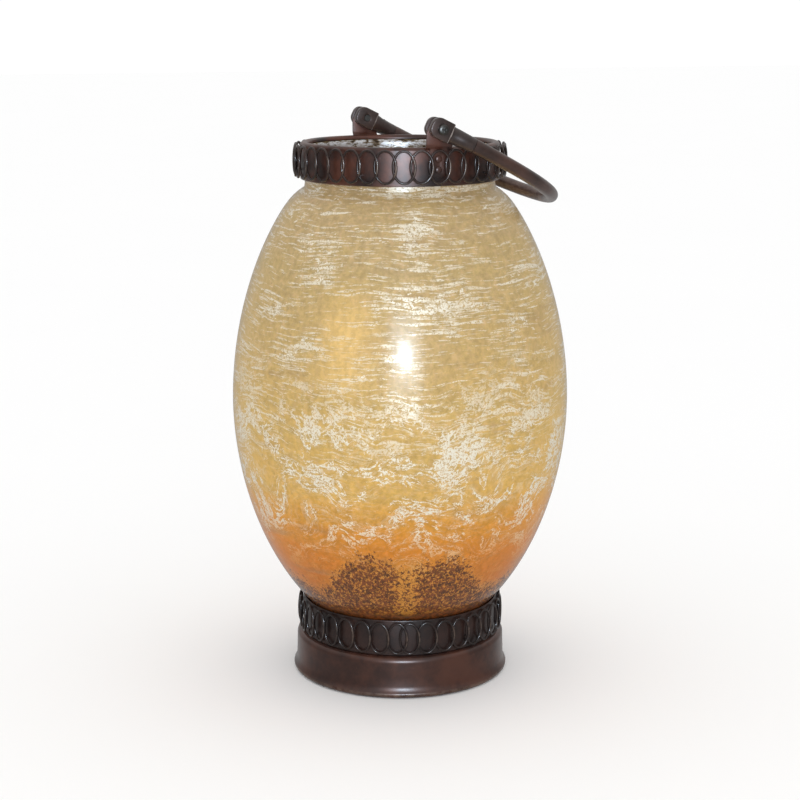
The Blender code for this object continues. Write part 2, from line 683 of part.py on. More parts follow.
def pivot_screw(name, side, pivot):
    """A pan-head screw with a cross drive, threaded into the fork's inner cheek."""
    head, high, shank = SCREW_HEAD_RADIUS, SCREW_HEAD_HEIGHT, SCREW_RADIUS
    outline = [(0.0, high), (head * 0.55, high), (head * 0.88, high * 0.75), (head, high * 0.3)]
    outline += [(head, 0.0), (shank, 0.0), (shank, -FORK_THICK - GAP), (0.0, -FORK_THICK - GAP)]
    screw = turned(name, outline, steel(name), SMALL_STEPS, solid=True)
    half = DRIVE_WIDTH / 2
    arm = head * 0.55
    low = high - DRIVE_DEPTH
    cross = box(name + "_drive", (-arm, -half, low), (arm, half, 2 * high))
    boolean(cross, box(name + "_drive_b", (-half, -arm, low), (half, arm, 2 * high)), "UNION")
    boolean(screw, cross, "DIFFERENCE")
    baked(screw)
    screw.rotation_euler.x = -side * pi / 2
    screw.location.y = side * (EAR_MIDDLE + FORK_THICK / 2 + GAP)
    screw.parent = pivot
    return screw


def pivot_washers():
    """A washer each side of each ear, between it and the fork's cheeks."""
    near = EAR_MIDDLE - EAR_THICK / 2 - GAP - WASHER_THICK
    far = EAR_MIDDLE + EAR_THICK / 2 + GAP
    look = steel("pivot_washer")
    for end, side in (("front", -1), ("rear", 1)):
        for face, start in (("inner", near), ("outer", far)):
            ring = washer(
                f"washer_{end}_{face}", WASHER_RADIUS, SCREW_RADIUS + GAP, start,
                start + WASHER_THICK, look, SMALL_STEPS
            )
            ring.rotation_euler.x = -side * pi / 2
            ring.location.z = PIVOT_HEIGHT


def bail():
    pivot = bpy.data.objects.new("bail_pivot", None)
    LANTERN.objects.link(pivot)
    pivot.location.z = PIVOT_HEIGHT
    pivot.rotation_euler.y = BAIL_DROOP
    for end, side in (("front", -1), ("rear", 1)):
        ferrule(f"ferrule_{end}", side, pivot)
        pivot_screw(f"pivot_screw_{end}", side, pivot)
    bail_rod(pivot)
    pivot_washers()


# ---------------------------------------------------------------- candle
def candle():
    """A pillar candle with a wick, standing a little off the middle of its plate."""
    hole = WICK_RADIUS + GAP
    bottom_of_hole = CANDLE_TOP - WICK_DEPTH
    outline = [(0.0, bottom_of_hole), (hole, bottom_of_hole), (hole, CANDLE_TOP)]
    outline += arc(CANDLE_RADIUS - CANDLE_ROUND, CANDLE_TOP - CANDLE_ROUND, CANDLE_ROUND, 90, 0, 2)
    outline += [(CANDLE_RADIUS, CANDLE_BOTTOM), (0.0, CANDLE_BOTTOM)]
    wax = turned("candle", outline, finish("candle", WAX, 0.5), steps=32, solid=True)
    wick_low = (0, 0, bottom_of_hole + GAP)
    wick_high = (0, 0, CANDLE_TOP + WICK_HEIGHT)
    cotton = finish("candle_wick", COTTON, 0.9)
    wick = cylinder("candle_wick", WICK_RADIUS, wick_low, wick_high, cotton, 8)
    for piece in (wax, wick):
        piece.location.x, piece.location.y = CANDLE_SHIFT


foot_shell()
foot_closing()
lower_band()
candle_plate()
middle_bolt()
glass_barrel()
seating_rings()
collar_band()
ears()
rivets()
ring_rows()
bail()
candle()

for piece in LANTERN.objects:
    if piece.type == "MESH":
        piece.data.shade_smooth()
        piece.data.set_sharp_from_angle(angle=radians(35))
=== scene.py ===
"""Looks of a hurricane candle lantern: mottled glass barrel, bronze foot and collar with rows of
oval wire rings, and a swinging bail. Everything is in metres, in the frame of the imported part."""

import json
from math import cos, pi, radians, sin

import bmesh
import bpy
from mathutils import Matrix, Vector


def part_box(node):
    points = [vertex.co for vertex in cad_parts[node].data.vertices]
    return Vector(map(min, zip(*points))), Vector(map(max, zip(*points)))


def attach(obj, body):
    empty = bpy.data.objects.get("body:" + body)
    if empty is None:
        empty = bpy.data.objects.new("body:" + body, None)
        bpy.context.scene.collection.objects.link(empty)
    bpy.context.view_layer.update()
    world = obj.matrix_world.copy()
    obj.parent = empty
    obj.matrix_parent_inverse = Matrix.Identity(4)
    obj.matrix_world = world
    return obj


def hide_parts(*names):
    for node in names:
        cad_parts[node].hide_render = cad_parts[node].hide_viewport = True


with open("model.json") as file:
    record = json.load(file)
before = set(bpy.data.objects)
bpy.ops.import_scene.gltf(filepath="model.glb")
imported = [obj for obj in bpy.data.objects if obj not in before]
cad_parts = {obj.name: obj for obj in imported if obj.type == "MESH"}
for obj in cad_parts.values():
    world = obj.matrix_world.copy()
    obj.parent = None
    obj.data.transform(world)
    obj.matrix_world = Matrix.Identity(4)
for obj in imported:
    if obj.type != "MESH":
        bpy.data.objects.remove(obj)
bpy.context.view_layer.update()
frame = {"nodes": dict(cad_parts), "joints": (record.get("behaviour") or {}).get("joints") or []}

# ---- sizes the frame does not give
GAP = 0.0003  # clearance between neighbours
SHEET = 0.0012  # thickness of the bronze sheet
BOLT_HOLE = 0.0033  # radius, as for every hole below
PIVOT_HOLE = 0.0023
RIVET_HOLE = 0.0015
WASHER_RADIUS = 0.0055
WASHER_THICK = 0.0008
PACKING = 0.0010  # cork between the neck and the collar
SEAT = 0.0022  # cork between the neck and the lower band
RING_WIRE = 0.0008  # radius of the wire of the oval rings
BARREL_POWER = 1.93  # 2 would make each half of the barrel a true half ellipse
UPPER_REACH = 0.1740  # height of the upper half ellipse, if it ran on to the axis
LOWER_REACH = 0.1636
GLASS_WALL = 0.0028
NECK_DROP = 0.0050  # below the collar's edge, where the barrel turns straight
NECK_FADE = 0.0028
EAR_THICK = 0.0015
EAR_STEP = 0.00165  # how far an ear steps out above the rim
RIVET_LEVELS = (0.0100, 0.0165)  # above the collar's lower edge
FORK_WIDTH = 0.0124
FORK_THICK = 0.0120
FORK_BACK = 0.0075  # behind the pivot
FORK_FRONT = 0.0065
FORK_ROUND = 0.0050
FORK_SPLAY = 0.0024  # how far a ferrule leans outwards from fork to mouth
SLOT_DEPTH = 0.0136
FERRULE_LENGTH = 0.0230  # from the pivot to the ferrule's mouth
FERRULE_MOUTH = 0.0047
SOCKET_DEPTH = 0.0058
SOCKET_RADIUS = 0.0031
SPIGOT_RADIUS = 0.0028
ROD_RADIUS = 0.0042
BAIL_OVERHANG = 0.0492  # how far the bail reaches past the collar, along its own plane
BAIL_DROOP = radians(26.0)
ENDS = (("front", -1), ("rear", 1))  # the pivots, and on which side along Y each one is


# ---- sizes taken from the frame
def low(node):
    """The lowest corner of a CAD node's box."""
    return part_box(node)[0]


def high(node):
    """The highest corner of a CAD node's box."""
    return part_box(node)[1]


FOOT_TOP = high("foot_shell").z
BAND_TOP = high("lower_band").z
BAND_LOW = low("lower_band").z
BAND_RADIUS = high("lower_band").x
COLLAR_LOW = low("collar_band").z
COLLAR_TOP = high("collar_band").z
COLLAR_RADIUS = high("collar_band").x
BELLY_RADIUS = high("glass_barrel").x
GLASS_TOP = high("glass_barrel").z
GLASS_LOW = low("glass_barrel").z
UPPER_NECK = COLLAR_RADIUS - SHEET - PACKING - 2 * GAP
LOWER_NECK = BAND_RADIUS - SHEET - SEAT
EAR_FACE = COLLAR_RADIUS + GAP
EAR_MIDDLE = EAR_FACE + EAR_STEP + EAR_THICK / 2
BAIL_HALF_WIDTH = EAR_MIDDLE + FORK_SPLAY
BAIL_REACH = COLLAR_RADIUS + BAIL_OVERHANG
PIVOT = Vector(frame["joints"][0]["pos_m"])
TO_BAIL = Matrix.Translation(PIVOT) @ Matrix.Rotation(BAIL_DROOP, 4, "Y")


def reach_to(neck, reach):
    """Height from the belly to the level where the barrel has narrowed to the neck."""
    return reach * (1 - (neck / BELLY_RADIUS) ** BARREL_POWER) ** (1 / BARREL_POWER)


BELLY_LEVEL = COLLAR_LOW - reach_to(UPPER_NECK, UPPER_REACH)


# ---- node building
class Number:
    """A number inside a node tree. Sums, differences, products and quotients add Math nodes."""

    def __init__(self, tree, socket):
        self.tree = tree
        self.socket = socket

    def solve(self, operation, *values):
        """A Math node on these values."""
        node = self.tree.nodes.new("ShaderNodeMath")
        node.operation = operation
        for slot, value in zip(node.inputs, values):
            put(self.tree, slot, value)
        return Number(self.tree, node.outputs[0])

    def math(self, operation, *others):
        """A Math node on this number and then the others."""
        return self.solve(operation, self, *others)

    def __add__(self, other):
        return self.math("ADD", other)

    def __radd__(self, other):
        return self.solve("ADD", other, self)

    def __sub__(self, other):
        return self.math("SUBTRACT", other)

    def __rsub__(self, other):
        return self.solve("SUBTRACT", other, self)

    def __mul__(self, other):
        return self.math("MULTIPLY", other)

    def __rmul__(self, other):
        return self.solve("MULTIPLY", other, self)

    def __truediv__(self, other):
        return self.math("DIVIDE", other)

    def __rtruediv__(self, other):
        return self.solve("DIVIDE", other, self)

    def __pow__(self, other):
        return self.math("POWER", other)

    def step(self, start, end):
        """0 up to start, 1 from end on, and smooth in between."""
        node = self.tree.nodes.new("ShaderNodeMapRange")
        node.interpolation_type = "SMOOTHSTEP"
        put(self.tree, node.inputs["Value"], self)
        put(self.tree, node.inputs["From Min"], start)
        put(self.tree, node.inputs["From Max"], end)
        return Number(self.tree, node.outputs["Result"])


def put(tree, slot, value):
    """Links a socket to the slot, or sets the slot's own value."""
    if isinstance(value, Number):
        value = value.socket
    if isinstance(value, bpy.types.NodeSocket):
        tree.links.new(value, slot)
    else:
        slot.default_value = value


class Nodes:
    """Adds nodes to one tree."""

    def __init__(self, tree):
        self.tree = tree

    def feed(self, node, values):
        """Sets or links a node's inputs by name, with _ for a space."""
        for key, value in values.items():
            put(self.tree, node.inputs[key.replace("_", " ")], value)
        return node

    def add(self, kind, settings=None, **values):
        """A new node with its settings and inputs."""
        node = self.tree.nodes.new(kind)
        for key, value in (settings or {}).items():
            setattr(node, key, value)
        return self.feed(node, values)

    def number(self, node, output=0):
        """One output of a node, ready for sums."""
        return Number(self.tree, node.outputs[output])

    def blend(self, share, first, second):
        """The first colour where the share is 0, and the second where it is 1."""
        node = self.add("ShaderNodeMix", {"data_type": "RGBA"})
        put(self.tree, node.inputs[0], share)
        for slot, colour in ((node.inputs[6], first), (node.inputs[7], second)):
            if isinstance(colour, tuple):
                colour = (*colour, 1.0)
            put(self.tree, slot, colour)
        return node.outputs[2]


class Finish(Nodes):
    """A procedural material on Object coordinates, with one Principled shader."""

    def __init__(self, name, **constants):
        self.material = bpy.data.materials.new(name)
        self.material.use_nodes = True
        super().__init__(self.material.node_tree)
        self.shader = self.tree.nodes["Principled BSDF"]
        self.feed(self.shader, constants)
        self.place = self.add("ShaderNodeTexCoord").outputs["Object"]
        split = self.add("ShaderNodeSeparateXYZ", Vector=self.place)
        self.x, self.y, self.z = (self.number(split, i) for i in range(3))

    def spot(self, x, y, z):
        """A vector from three numbers."""
        return self.add("ShaderNodeCombineXYZ", X=x, Y=y, Z=z).outputs[0]

    def noise(self, scale, detail, roughness, distortion=0.0, spot=None):
        """Noise at the Object coordinates, or at another spot."""
        node = self.add(
            "ShaderNodeTexNoise", Vector=spot or self.place, Scale=scale, Detail=detail,
            Roughness=roughness, Distortion=distortion,
        )
        return self.number(node)

    def bands(self, across, up, detail, roughness, distortion=0.0, level=None):
        """Noise with one scale across and another up, so that it can lie in level bands."""
        rise = self.z if level is None else level
        spot = self.spot(self.x * across, self.y * across, rise * up)
        return self.noise(1.0, detail, roughness, distortion, spot)

    def ramp(self, value, *stops):
        """A colour for each place along the value; stops are (place, colour)."""
        node = self.tree.nodes.new("ShaderNodeValToRGB")
        line = node.color_ramp.elements
        while len(line) < len(stops):
            line.new(1.0)
        for mark, (place, colour) in zip(line, stops):
            mark.position = place
            mark.color = (*colour, 1.0)
        put(self.tree, node.inputs[0], value)
        return node.outputs[0]

    def bump(self, height, distance, strength):
        """Fine relief on the whole surface."""
        node = self.add("ShaderNodeBump", Height=height, Distance=distance, Strength=strength)
        self.use(Normal=node.outputs[0])

    def use(self, **channels):
        """Feeds the shader's inputs and gives back the material."""
        self.feed(self.shader, channels)
        return self.material


def srgb(r, g, b):
    """A colour given in 0-255 display values, made linear."""
    def one(v):
        v = v / 255
        return v / 12.92 if v <= 0.04045 else ((v + 0.055) / 1.055) ** 2.4
    return one(r), one(g), one(b)


# ---- finishes
def bronze_finish(
    name, crest=None, spread=0.0006, rough=0.34, gloss=0.26, dusty=False,
    dark=(62, 37, 30), light=(98, 58, 43), seam=None,
):
    """Dark oil-rubbed bronze under clear lacquer. Past a crest radius it can be lighter, as wear
    and as a painted highlight on the outermost crests. It can be dusty towards the bail's far end,
    and it can carry a painted highlight line at a distance from the pivot, where a fork's flats
    end."""
    f = Finish(name, Metallic=0.5, IOR=1.5, Coat_Weight=1.0, Coat_Roughness=gloss)
    clouds = f.noise(42, 4, 0.6)
    colour = f.blend(clouds.step(0.32, 0.70), srgb(*dark), srgb(*light))
    specks = f.noise(900, 3, 0.7)
    colour = f.blend(specks.step(0.62, 0.75) * 0.4, colour, srgb(112, 74, 54))
    if dusty:
        worn = f.x.step(0.066, 0.104) * f.noise(190, 4, 0.7).step(0.30, 0.66)
        colour = f.blend(worn * 0.55, colour, srgb(138, 116, 106))
    if crest:
        radius = (f.x * f.x + f.y * f.y) ** 0.5
        # lighter on the outermost crests: wear, and a painted highlight for the light lines along
        # wires and rolled edges
        crest_wear_and_highlight = radius.step(crest - spread, crest)
        crest_wear_and_highlight = crest_wear_and_highlight * f.noise(260, 3, 0.6).step(0.32, 0.62)
        colour = f.blend(crest_wear_and_highlight * 0.5, colour, srgb(146, 124, 108))
    if seam:
        # a painted highlight: a light line where the fork's flats end, standing for that edge
        # catching light
        along = (f.x - PIVOT.x) * cos(BAIL_DROOP) - (f.z - PIVOT.z) * sin(BAIL_DROOP) - seam
        painted_edge_line = 1 - along.math("ABSOLUTE").step(0.00025, 0.00060)
        painted_edge_line = painted_edge_line * (0.5 + 0.5 * f.noise(300, 2, 0.6).step(0.40, 0.55))
        colour = f.blend(painted_edge_line * 0.8, colour, srgb(196, 184, 178))
    f.bump(f.noise(1500, 2, 0.5), 0.00006, 0.6)
    roughness = rough + 0.14 * f.noise(120, 3, 0.6)
    return f.use(Base_Color=colour, Roughness=roughness)


def steel_finish(name, dark=0.6):
    """Plated steel with a fine grain round its height."""
    f = Finish(name, Metallic=1.0)
    grain = f.bands(700, 4200, 3, 0.6)
    deep = srgb(90 * dark, 86 * dark, 82 * dark)
    colour = f.blend(grain, deep, srgb(190 * dark, 186 * dark, 180 * dark))
    f.bump(grain, 0.00003, 0.5)
    return f.use(Base_Color=colour, Roughness=0.28 + 0.2 * grain)


BROWN_SHIFT = radians(108)  # turns the pair of brown scallops to the front
PAINTED_CANDLE_GLOW = (-0.066, -0.081, 0.235)  # where a painted glow stands for the candle shining through the wall
GLOW_WIDTH = 0.024
GLOW_HEIGHT = 0.044
GROUND_SCALE = 0.35  # the height that counts as 1 in the colours of the glass


def flow_level(f):
    """Height pushed about, more and more towards the foot, so that level lines turn to waves."""
    sway = f.noise(11, 2, 0.5) - 0.5
    ripple = f.noise(45, 2, 0.5) - 0.5
    depth = 1 - f.z.step(0.115, 0.235)
    return f.z + sway * (0.012 + 0.070 * depth) + ripple * (0.003 + 0.012 * depth)


def leaf_mask(f, level):
    """Where the pearly leaf lies: thin level dashes above, ragged webs and flakes below."""
    crumbs = f.noise(820, 4, 0.75)
    patches = f.bands(24, 60, 4, 0.65, level=level)
    line = f.bands(26, 430, 5, 0.66, 0.25, level=level)
    dashes = (line + 0.34 * (patches - 0.5)).step(0.572, 0.618)
    hair = f.bands(60, 760, 4, 0.66, 0.25, level=level)
    hairs = (hair + 0.34 * (patches - 0.5)).step(0.540, 0.605)
    flake = f.bands(130, 440, 6, 0.70, 0.3, level=level)
    flakes = (flake + 0.8 * (patches - 0.5)).step(0.650, 0.680)
    web = f.bands(84, 150, 7, 0.70, 0.35, level=level)
    off = (web - 0.5).math("ABSOLUTE")
    clumps = f.bands(34, 50, 4, 0.62, level=level)
    webs = 1 - (off + 0.34 * (0.542 - clumps)).step(0.020, 0.036)
    low_half = 1 - f.z.step(0.165, 0.240)
    above = f.z.step(0.130, 0.200)
    leaf = dashes * (0.20 + 0.55 * above)
    leaf = leaf.math("MAXIMUM", hairs * (0.14 + 0.40 * above))
    leaf = leaf.math("MAXIMUM", flakes * (0.40 + 0.50 * above))
    leaf = leaf.math("MAXIMUM", webs * low_half)
    return leaf * crumbs.step(0.40, 0.50)


def glass_ground(f, height, grain):
    """Colour of the plain glass: bands by height, with streaks, grain, smoke, specks and a
    painted glow where the candle shows through."""
    ground = f.ramp(
        height / GROUND_SCALE,
        (0.140, srgb(134, 69, 20)),
        (0.215, srgb(202, 110, 6)),
        (0.290, srgb(218, 129, 0)),
        (0.345, srgb(225, 151, 26)),
        (0.400, srgb(224, 178, 84)),
        (0.500, srgb(219, 181, 97)),
        (0.640, srgb(207, 175, 108)),
        (0.780, srgb(196, 169, 111)),
        (0.930, srgb(188, 160, 110)),
    )
    pale = 0.2 + 0.8 * f.z.step(0.085, 0.150)
    streaks = f.bands(18, 110, 5, 0.68)
    ground = f.blend(streaks.step(0.42, 0.66) * 0.32 * pale, ground, srgb(186, 160, 86))
    ground = f.blend(grain.step(0.46, 0.66) * 0.30 * pale, ground, srgb(234, 192, 150))
    ground = f.blend(grain.step(0.50, 0.36) * 0.22, ground, srgb(150, 112, 60))
    smoke = f.bands(11, 70, 4, 0.6)
    ground = f.blend(smoke.step(0.58, 0.74) * 0.45, ground, srgb(158, 126, 92))
    specks = f.noise(420, 3, 0.7).step(0.66, 0.72)
    specks = specks * f.noise(15, 3, 0.5).step(0.54, 0.64)
    ground = f.blend(specks * 0.6, ground, srgb(112, 74, 46))
    # painted glow: a warm patch on the glass where the candle would show through the wall
    x, y, z = PAINTED_CANDLE_GLOW
    off = f.spot((f.x - x) / GLOW_WIDTH, (f.y - y) / GLOW_WIDTH, (f.z - z) / GLOW_HEIGHT)
    reach = f.number(f.add("ShaderNodeVectorMath", {"operation": "LENGTH"}, Vector=off), "Value")
    return f.blend((1 - reach.step(0.05, 1.25)) * 0.60, ground, srgb(255, 212, 130))


def brown_zone(f, height):
    """The mottled zone over the band: how deep a place lies in it, how near to the gold column
    between two scallops, and where the brown itself lies, with a strip of painted shade all round
    just above the band."""
    bearing = f.y.math("ARCTAN2", f.x) + BROWN_SHIFT
    swell = (3 * bearing).math("COSINE")
    scallop = (9 * bearing).math("COSINE")
    lobes = f.noise(75, 5, 0.65)
    edge = height + 0.030 * (lobes - 0.5) - 0.016 * swell + 0.0055 * scallop
    depth = 1 - edge.step(0.0765, 0.0950)
    column = swell.step(0.93, 1.0)
    flecks = f.bands(590, 450, 5, 0.74, 0.5)
    dark = 1 - (flecks + 0.060 * column - 0.235 * depth).step(0.280, 0.345)
    brown = dark * depth.step(0.0, 0.08)
    # brown all round just above the band: painted shade at the joint of glass and band
    return depth, column, brown.math("MAXIMUM", 1 - f.z.step(0.0515, 0.0590))


def glass_finish():
    """Glass with lacquer and pearly leaf behind it: cream above, amber and orange below, and
    brown mottling in paired scallops over the lower band."""
    f = Finish(
        "mottled_glass", IOR=1.5, Specular_IOR_Level=0.3, Coat_Weight=1.0, Coat_Roughness=0.16,
        Coat_IOR=1.5,
    )
    height = f.z + 0.012 * (f.noise(17, 3, 0.6) - 0.5)
    grain = f.noise(330, 4, 0.72)
    ground = glass_ground(f, height, grain)
    depth, column, brown = brown_zone(f, height)
    colour = f.blend(depth * (0.5 + 0.3 * column), ground, srgb(218, 150, 56))
    earth = f.blend(grain.step(0.42, 0.60), srgb(66, 30, 8), srgb(118, 58, 18))
    colour = f.blend(brown * 0.93, colour, earth)
    leaf = leaf_mask(f, flow_level(f)) * (0.15 + 0.85 * f.z.step(0.080, 0.120)) * (1 - brown)
    pearl = f.blend(f.z.step(0.080, 0.132), srgb(240, 184, 96), srgb(255, 248, 230))
    colour = f.blend(leaf, colour, pearl)
    f.bump(leaf * 0.6 + grain * 0.4, 0.00020, 0.5)
    facing = f.number(f.add("ShaderNodeLayerWeight", Blend=0.5), "Facing")
    sheer = 0.24 * (1 - facing.step(0.35, 0.70)) * f.noise(210, 4, 0.7).step(0.30, 0.66)
    sheer = sheer * (1 - leaf) * (1 - brown)
    return f.use(
        Base_Color=colour, Metallic=leaf * 0.30, Roughness=0.54 - 0.16 * leaf, Alpha=1 - sheer
    )


def glass_lining():
    """The lacquered inside of the barrel: silver leaf with dark and gold flecks."""
    f = Finish("glass_lining", IOR=1.5)
    flakes = f.bands(150, 420, 5, 0.70, 0.3)
    colour = f.ramp(
        flakes,
        (0.36, srgb(38, 28, 24)),
        (0.45, srgb(134, 112, 82)),
        (0.50, srgb(212, 208, 206)),
        (0.58, srgb(252, 252, 255)),
    )
    low_part = 1 - f.z.step(0.085, 0.300)
    colour = f.blend(low_part * 0.85, colour, srgb(214, 160, 92))
    f.bump(flakes, 0.0004, 0.6)
    opacity = 0.35 + 0.60 * f.z.step(0.314, 0.322)
    return f.use(Base_Color=colour, Metallic=0.65, Roughness=0.24 + 0.2 * flakes, Alpha=opacity)


def wax_finish():
    """Ivory wax with a painted glow: a faint warm emission, though no flame burns."""
    f = Finish("candle_wax", Roughness=0.45)
    clouds = f.noise(22, 4, 0.6)
    colour = f.blend(clouds, srgb(232, 204, 148), srgb(240, 222, 180))
    f.bump(f.noise(300, 3, 0.5), 0.0002, 0.3)
    # painted glow: a faint warm emission on the unlit candle, deeper orange lower down
    glow = f.blend(f.z.step(0.06, 0.20), srgb(236, 150, 60), srgb(246, 200, 120))
    return f.use(Base_Color=colour, Emission_Color=glow, Emission_Strength=0.12)


def cotton_finish():
    """The plaited wick."""
    f = Finish("wick_cotton", Roughness=0.9)
    plait = f.bands(1200, 500, 2, 0.5)
    f.bump(plait, 0.0003, 0.7)
    return f.use(Base_Color=f.blend(plait, srgb(150, 138, 112), srgb(226, 216, 190)))


def cork_finish():
    """Pressed cork, for the seating rings."""
    f = Finish("cork", Roughness=0.9)
    grains = f.noise(900, 4, 0.7)
    f.bump(grains, 0.0002, 0.6)
    return f.use(Base_Color=f.blend(grains.step(0.4, 0.65), srgb(118, 78, 46), srgb(176, 130, 84)))


def felt_finish():
    """Black felt under the foot."""
    f = Finish("black_felt", Roughness=0.95)
    fuzz = f.noise(1800, 5, 0.8)
    f.bump(fuzz, 0.0004, 0.8)
    return f.use(Base_Color=f.blend(fuzz, srgb(14, 13, 13), srgb(52, 48, 46)))


# ---- mesh helpers
RIGHT, BACK, UP = Vector((1, 0, 0)), Vector((0, 1, 0)), Vector((0, 0, 1))


def keep(name, data):
    """A new object in the scene."""
    obj = bpy.data.objects.new(name, data)
    bpy.context.scene.collection.objects.link(obj)
    return obj


def meshed(name, shape):
    """Turns a bmesh, which is used up, into an object."""
    mesh = bpy.data.meshes.new(name)
    shape.to_mesh(mesh)
    shape.free()
    return keep(name, mesh)


def smooth(obj, angle=32):
    """Smooth shading, with edges left sharp above the angle."""
    obj.data.shade_smooth()
    obj.data.set_sharp_from_angle(angle=radians(angle))
    return obj


def arc(r, z, radius, start, end, count):
    """Points (r, z) along an arc, from the start angle to the end angle, in degrees."""
    turns = [radians(start + (end - start) * i / count) for i in range(count + 1)]
    return [(r + radius * cos(turn), z + radius * sin(turn)) for turn in turns]


def turned(name, outline, steps, material, closed=True, matrix=None):
    """A closed outline of (r, z) points turned about Z. An open one runs from axis to axis."""
    shape = bmesh.new()
    rings = []
    for i in range(steps):
        c, s = cos(2 * pi * i / steps), sin(2 * pi * i / steps)
        rings.append([shape.verts.new((r * c, r * s, z)) for r, z in outline])
    count = len(outline)
    for i in range(steps):
        here, there = rings[i], rings[(i + 1) % steps]
        for j in range(count if closed else count - 1):
            k = (j + 1) % count
            shape.faces.new((here[j], here[k], there[k], there[j]))
    bmesh.ops.remove_doubles(shape, verts=shape.verts, dist=0.000001)
    bmesh.ops.recalc_face_normals(shape, faces=shape.faces)
    if matrix is not None:
        shape.transform(matrix)
    obj = meshed(name, shape)
    obj.data.materials.append(material)
    return smooth(obj)


def add_bar(shape, radius, start, end, steps):
    """Adds a straight round bar between two points to a bmesh."""
    start, end = Vector(start), Vector(end)
    along = end - start
    turn = along.to_track_quat("Z", "Y").to_matrix().to_4x4()
    bmesh.ops.create_cone(
        shape, cap_ends=True, segments=steps, radius1=radius, radius2=radius,
        depth=along.length, matrix=Matrix.Translation((start + end) / 2) @ turn,
    )


def cylinder(radius, start, end, steps=32):
    """A straight round bar between two points, as an object to cut with."""
    shape = bmesh.new()
    add_bar(shape, radius, start, end, steps)
    return meshed("cylinder", shape)


def block(corner, opposite):
    """A box between two opposite corners, as an object to cut with."""
    corner, opposite = Vector(corner), Vector(opposite)
    shape = bmesh.new()
    bmesh.ops.create_cube(shape, size=1.0)
    size = Matrix.Diagonal((*(opposite - corner), 1.0))
    shape.transform(Matrix.Translation((corner + opposite) / 2) @ size)
    return meshed("block", shape)


def plate(name, outline, half_thickness, matrix):
    """A flat outline extruded both ways along Z, then laid by the matrix."""
    shape = bmesh.new()
    under = [shape.verts.new((x, y, -half_thickness)) for x, y in outline]
    over = [shape.verts.new((x, y, half_thickness)) for x, y in outline]
    shape.faces.new(list(reversed(under)))
    shape.faces.new(over)
    count = len(outline)
    for i in range(count):
        j = (i + 1) % count
        shape.faces.new((under[i], under[j], over[j], over[i]))
    shape.transform(matrix)
    bmesh.ops.recalc_face_normals(shape, faces=shape.faces)
    return meshed(name, shape)


def circle(middle, radius, across, up, sides):
    """Points on a circle round the middle, in the plane of two unit vectors."""
    turns = [2 * pi * k / sides for k in range(sides)]
    return [middle + (across * (radius * cos(t)) + up * (radius * sin(t))) for t in turns]


def tube(name, circles):
    """A skin through circles of equally many points, capped at both ends."""
    shape = bmesh.new()
    rings = [[shape.verts.new(point) for point in points] for points in circles]
    for here, there in zip(rings, rings[1:]):
        for k in range(len(here)):
            j = (k + 1) % len(here)
            shape.faces.new((here[k], here[j], there[j], there[k]))
    shape.faces.new(rings[0])
    shape.faces.new(rings[-1])
    bmesh.ops.recalc_face_normals(shape, faces=shape.faces)
    return meshed(name, shape)


def rod(name, stations, sides):
    """A round bar through stations of (point, radius) that lie in a level plane."""
    last = len(stations) - 1
    circles = []
    for i, (point, radius) in enumerate(stations):
        along = stations[min(i + 1, last)][0] - stations[max(i - 1, 0)][0]
        across = along.normalized().cross(UP).normalized()
        circles.append(circle(point, radius, across, UP, sides))
    return tube(name, circles)


def combine(obj, operation, *others):
    """Cuts, joins or intersects with the other objects, which are used up."""
    for other in others:
        step = obj.modifiers.new(operation, "BOOLEAN")
        step.operation = operation
        step.object = other
        step.solver = "EXACT"
    settle(obj, *others)


def settle(obj, *used):
    """Applies the modifiers and removes the objects that they used."""
    graph = bpy.context.evaluated_depsgraph_get()
    mesh = bpy.data.meshes.new_from_object(obj.evaluated_get(graph))
    obj.modifiers.clear()
    obj.data = mesh
    for other in used:
        bpy.data.objects.remove(other)
    return obj


def rounded(obj, width, segments, angle):
    """Rounds the edges that are sharper than the angle."""
    step = obj.modifiers.new("round", "BEVEL")
    step.width = width
    step.segments = segments
    step.limit_method = "ANGLE"
    step.angle_limit = radians(angle)
    step.use_clamp_overlap = True
    return settle(obj)


def carry(obj, body, slot, *nodes):
    """The piece moves with the body and stands for the CAD nodes, which are hidden. The slot is not
    used.
    """
    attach(obj, body)
    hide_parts(*nodes)


# ---- geometry node pieces
def piece_tree(name, **inputs):
    """A new geometry tree, with inputs listed by kind: the tree, its Nodes and its inputs."""
    tree = bpy.data.node_groups.new(name, "GeometryNodeTree")
    tree.interface.new_socket("Geometry", in_out="OUTPUT", socket_type="NodeSocketGeometry")
    for kind, keys in inputs.items():
        for key in keys.split(", "):
            tree.interface.new_socket(key, in_out="INPUT", socket_type="NodeSocket" + kind)
    given = tree.nodes.new("NodeGroupInput")
    return tree, Nodes(tree), {slot.name: Number(tree, slot) for slot in given.outputs if slot.name}


def grown(name, tree, values):
    """A plain mesh from the tree with these values for its inputs."""
    obj = keep(name, bpy.data.meshes.new(name))
    step = obj.modifiers.new("grow", "NODES")
    step.node_group = tree
    for item in tree.interface.items_tree:
        if item.in_out == "INPUT":
            step[item.identifier] = values[item.name]
    return settle(obj)


def finish_tree(nodes, geometry, *materials):
    """Realizes instances and sets materials: a later material covers only its own faces."""
    geometry = nodes.add("GeometryNodeRealizeInstances", Geometry=geometry).outputs[0]
    for material, faces in materials:
        node = nodes.add("GeometryNodeSetMaterial", Geometry=geometry, Material=material)
        if faces is not None:
            nodes.feed(node, {"Selection": faces})
        geometry = node.outputs[0]
    nodes.add("NodeGroupOutput", Geometry=geometry)


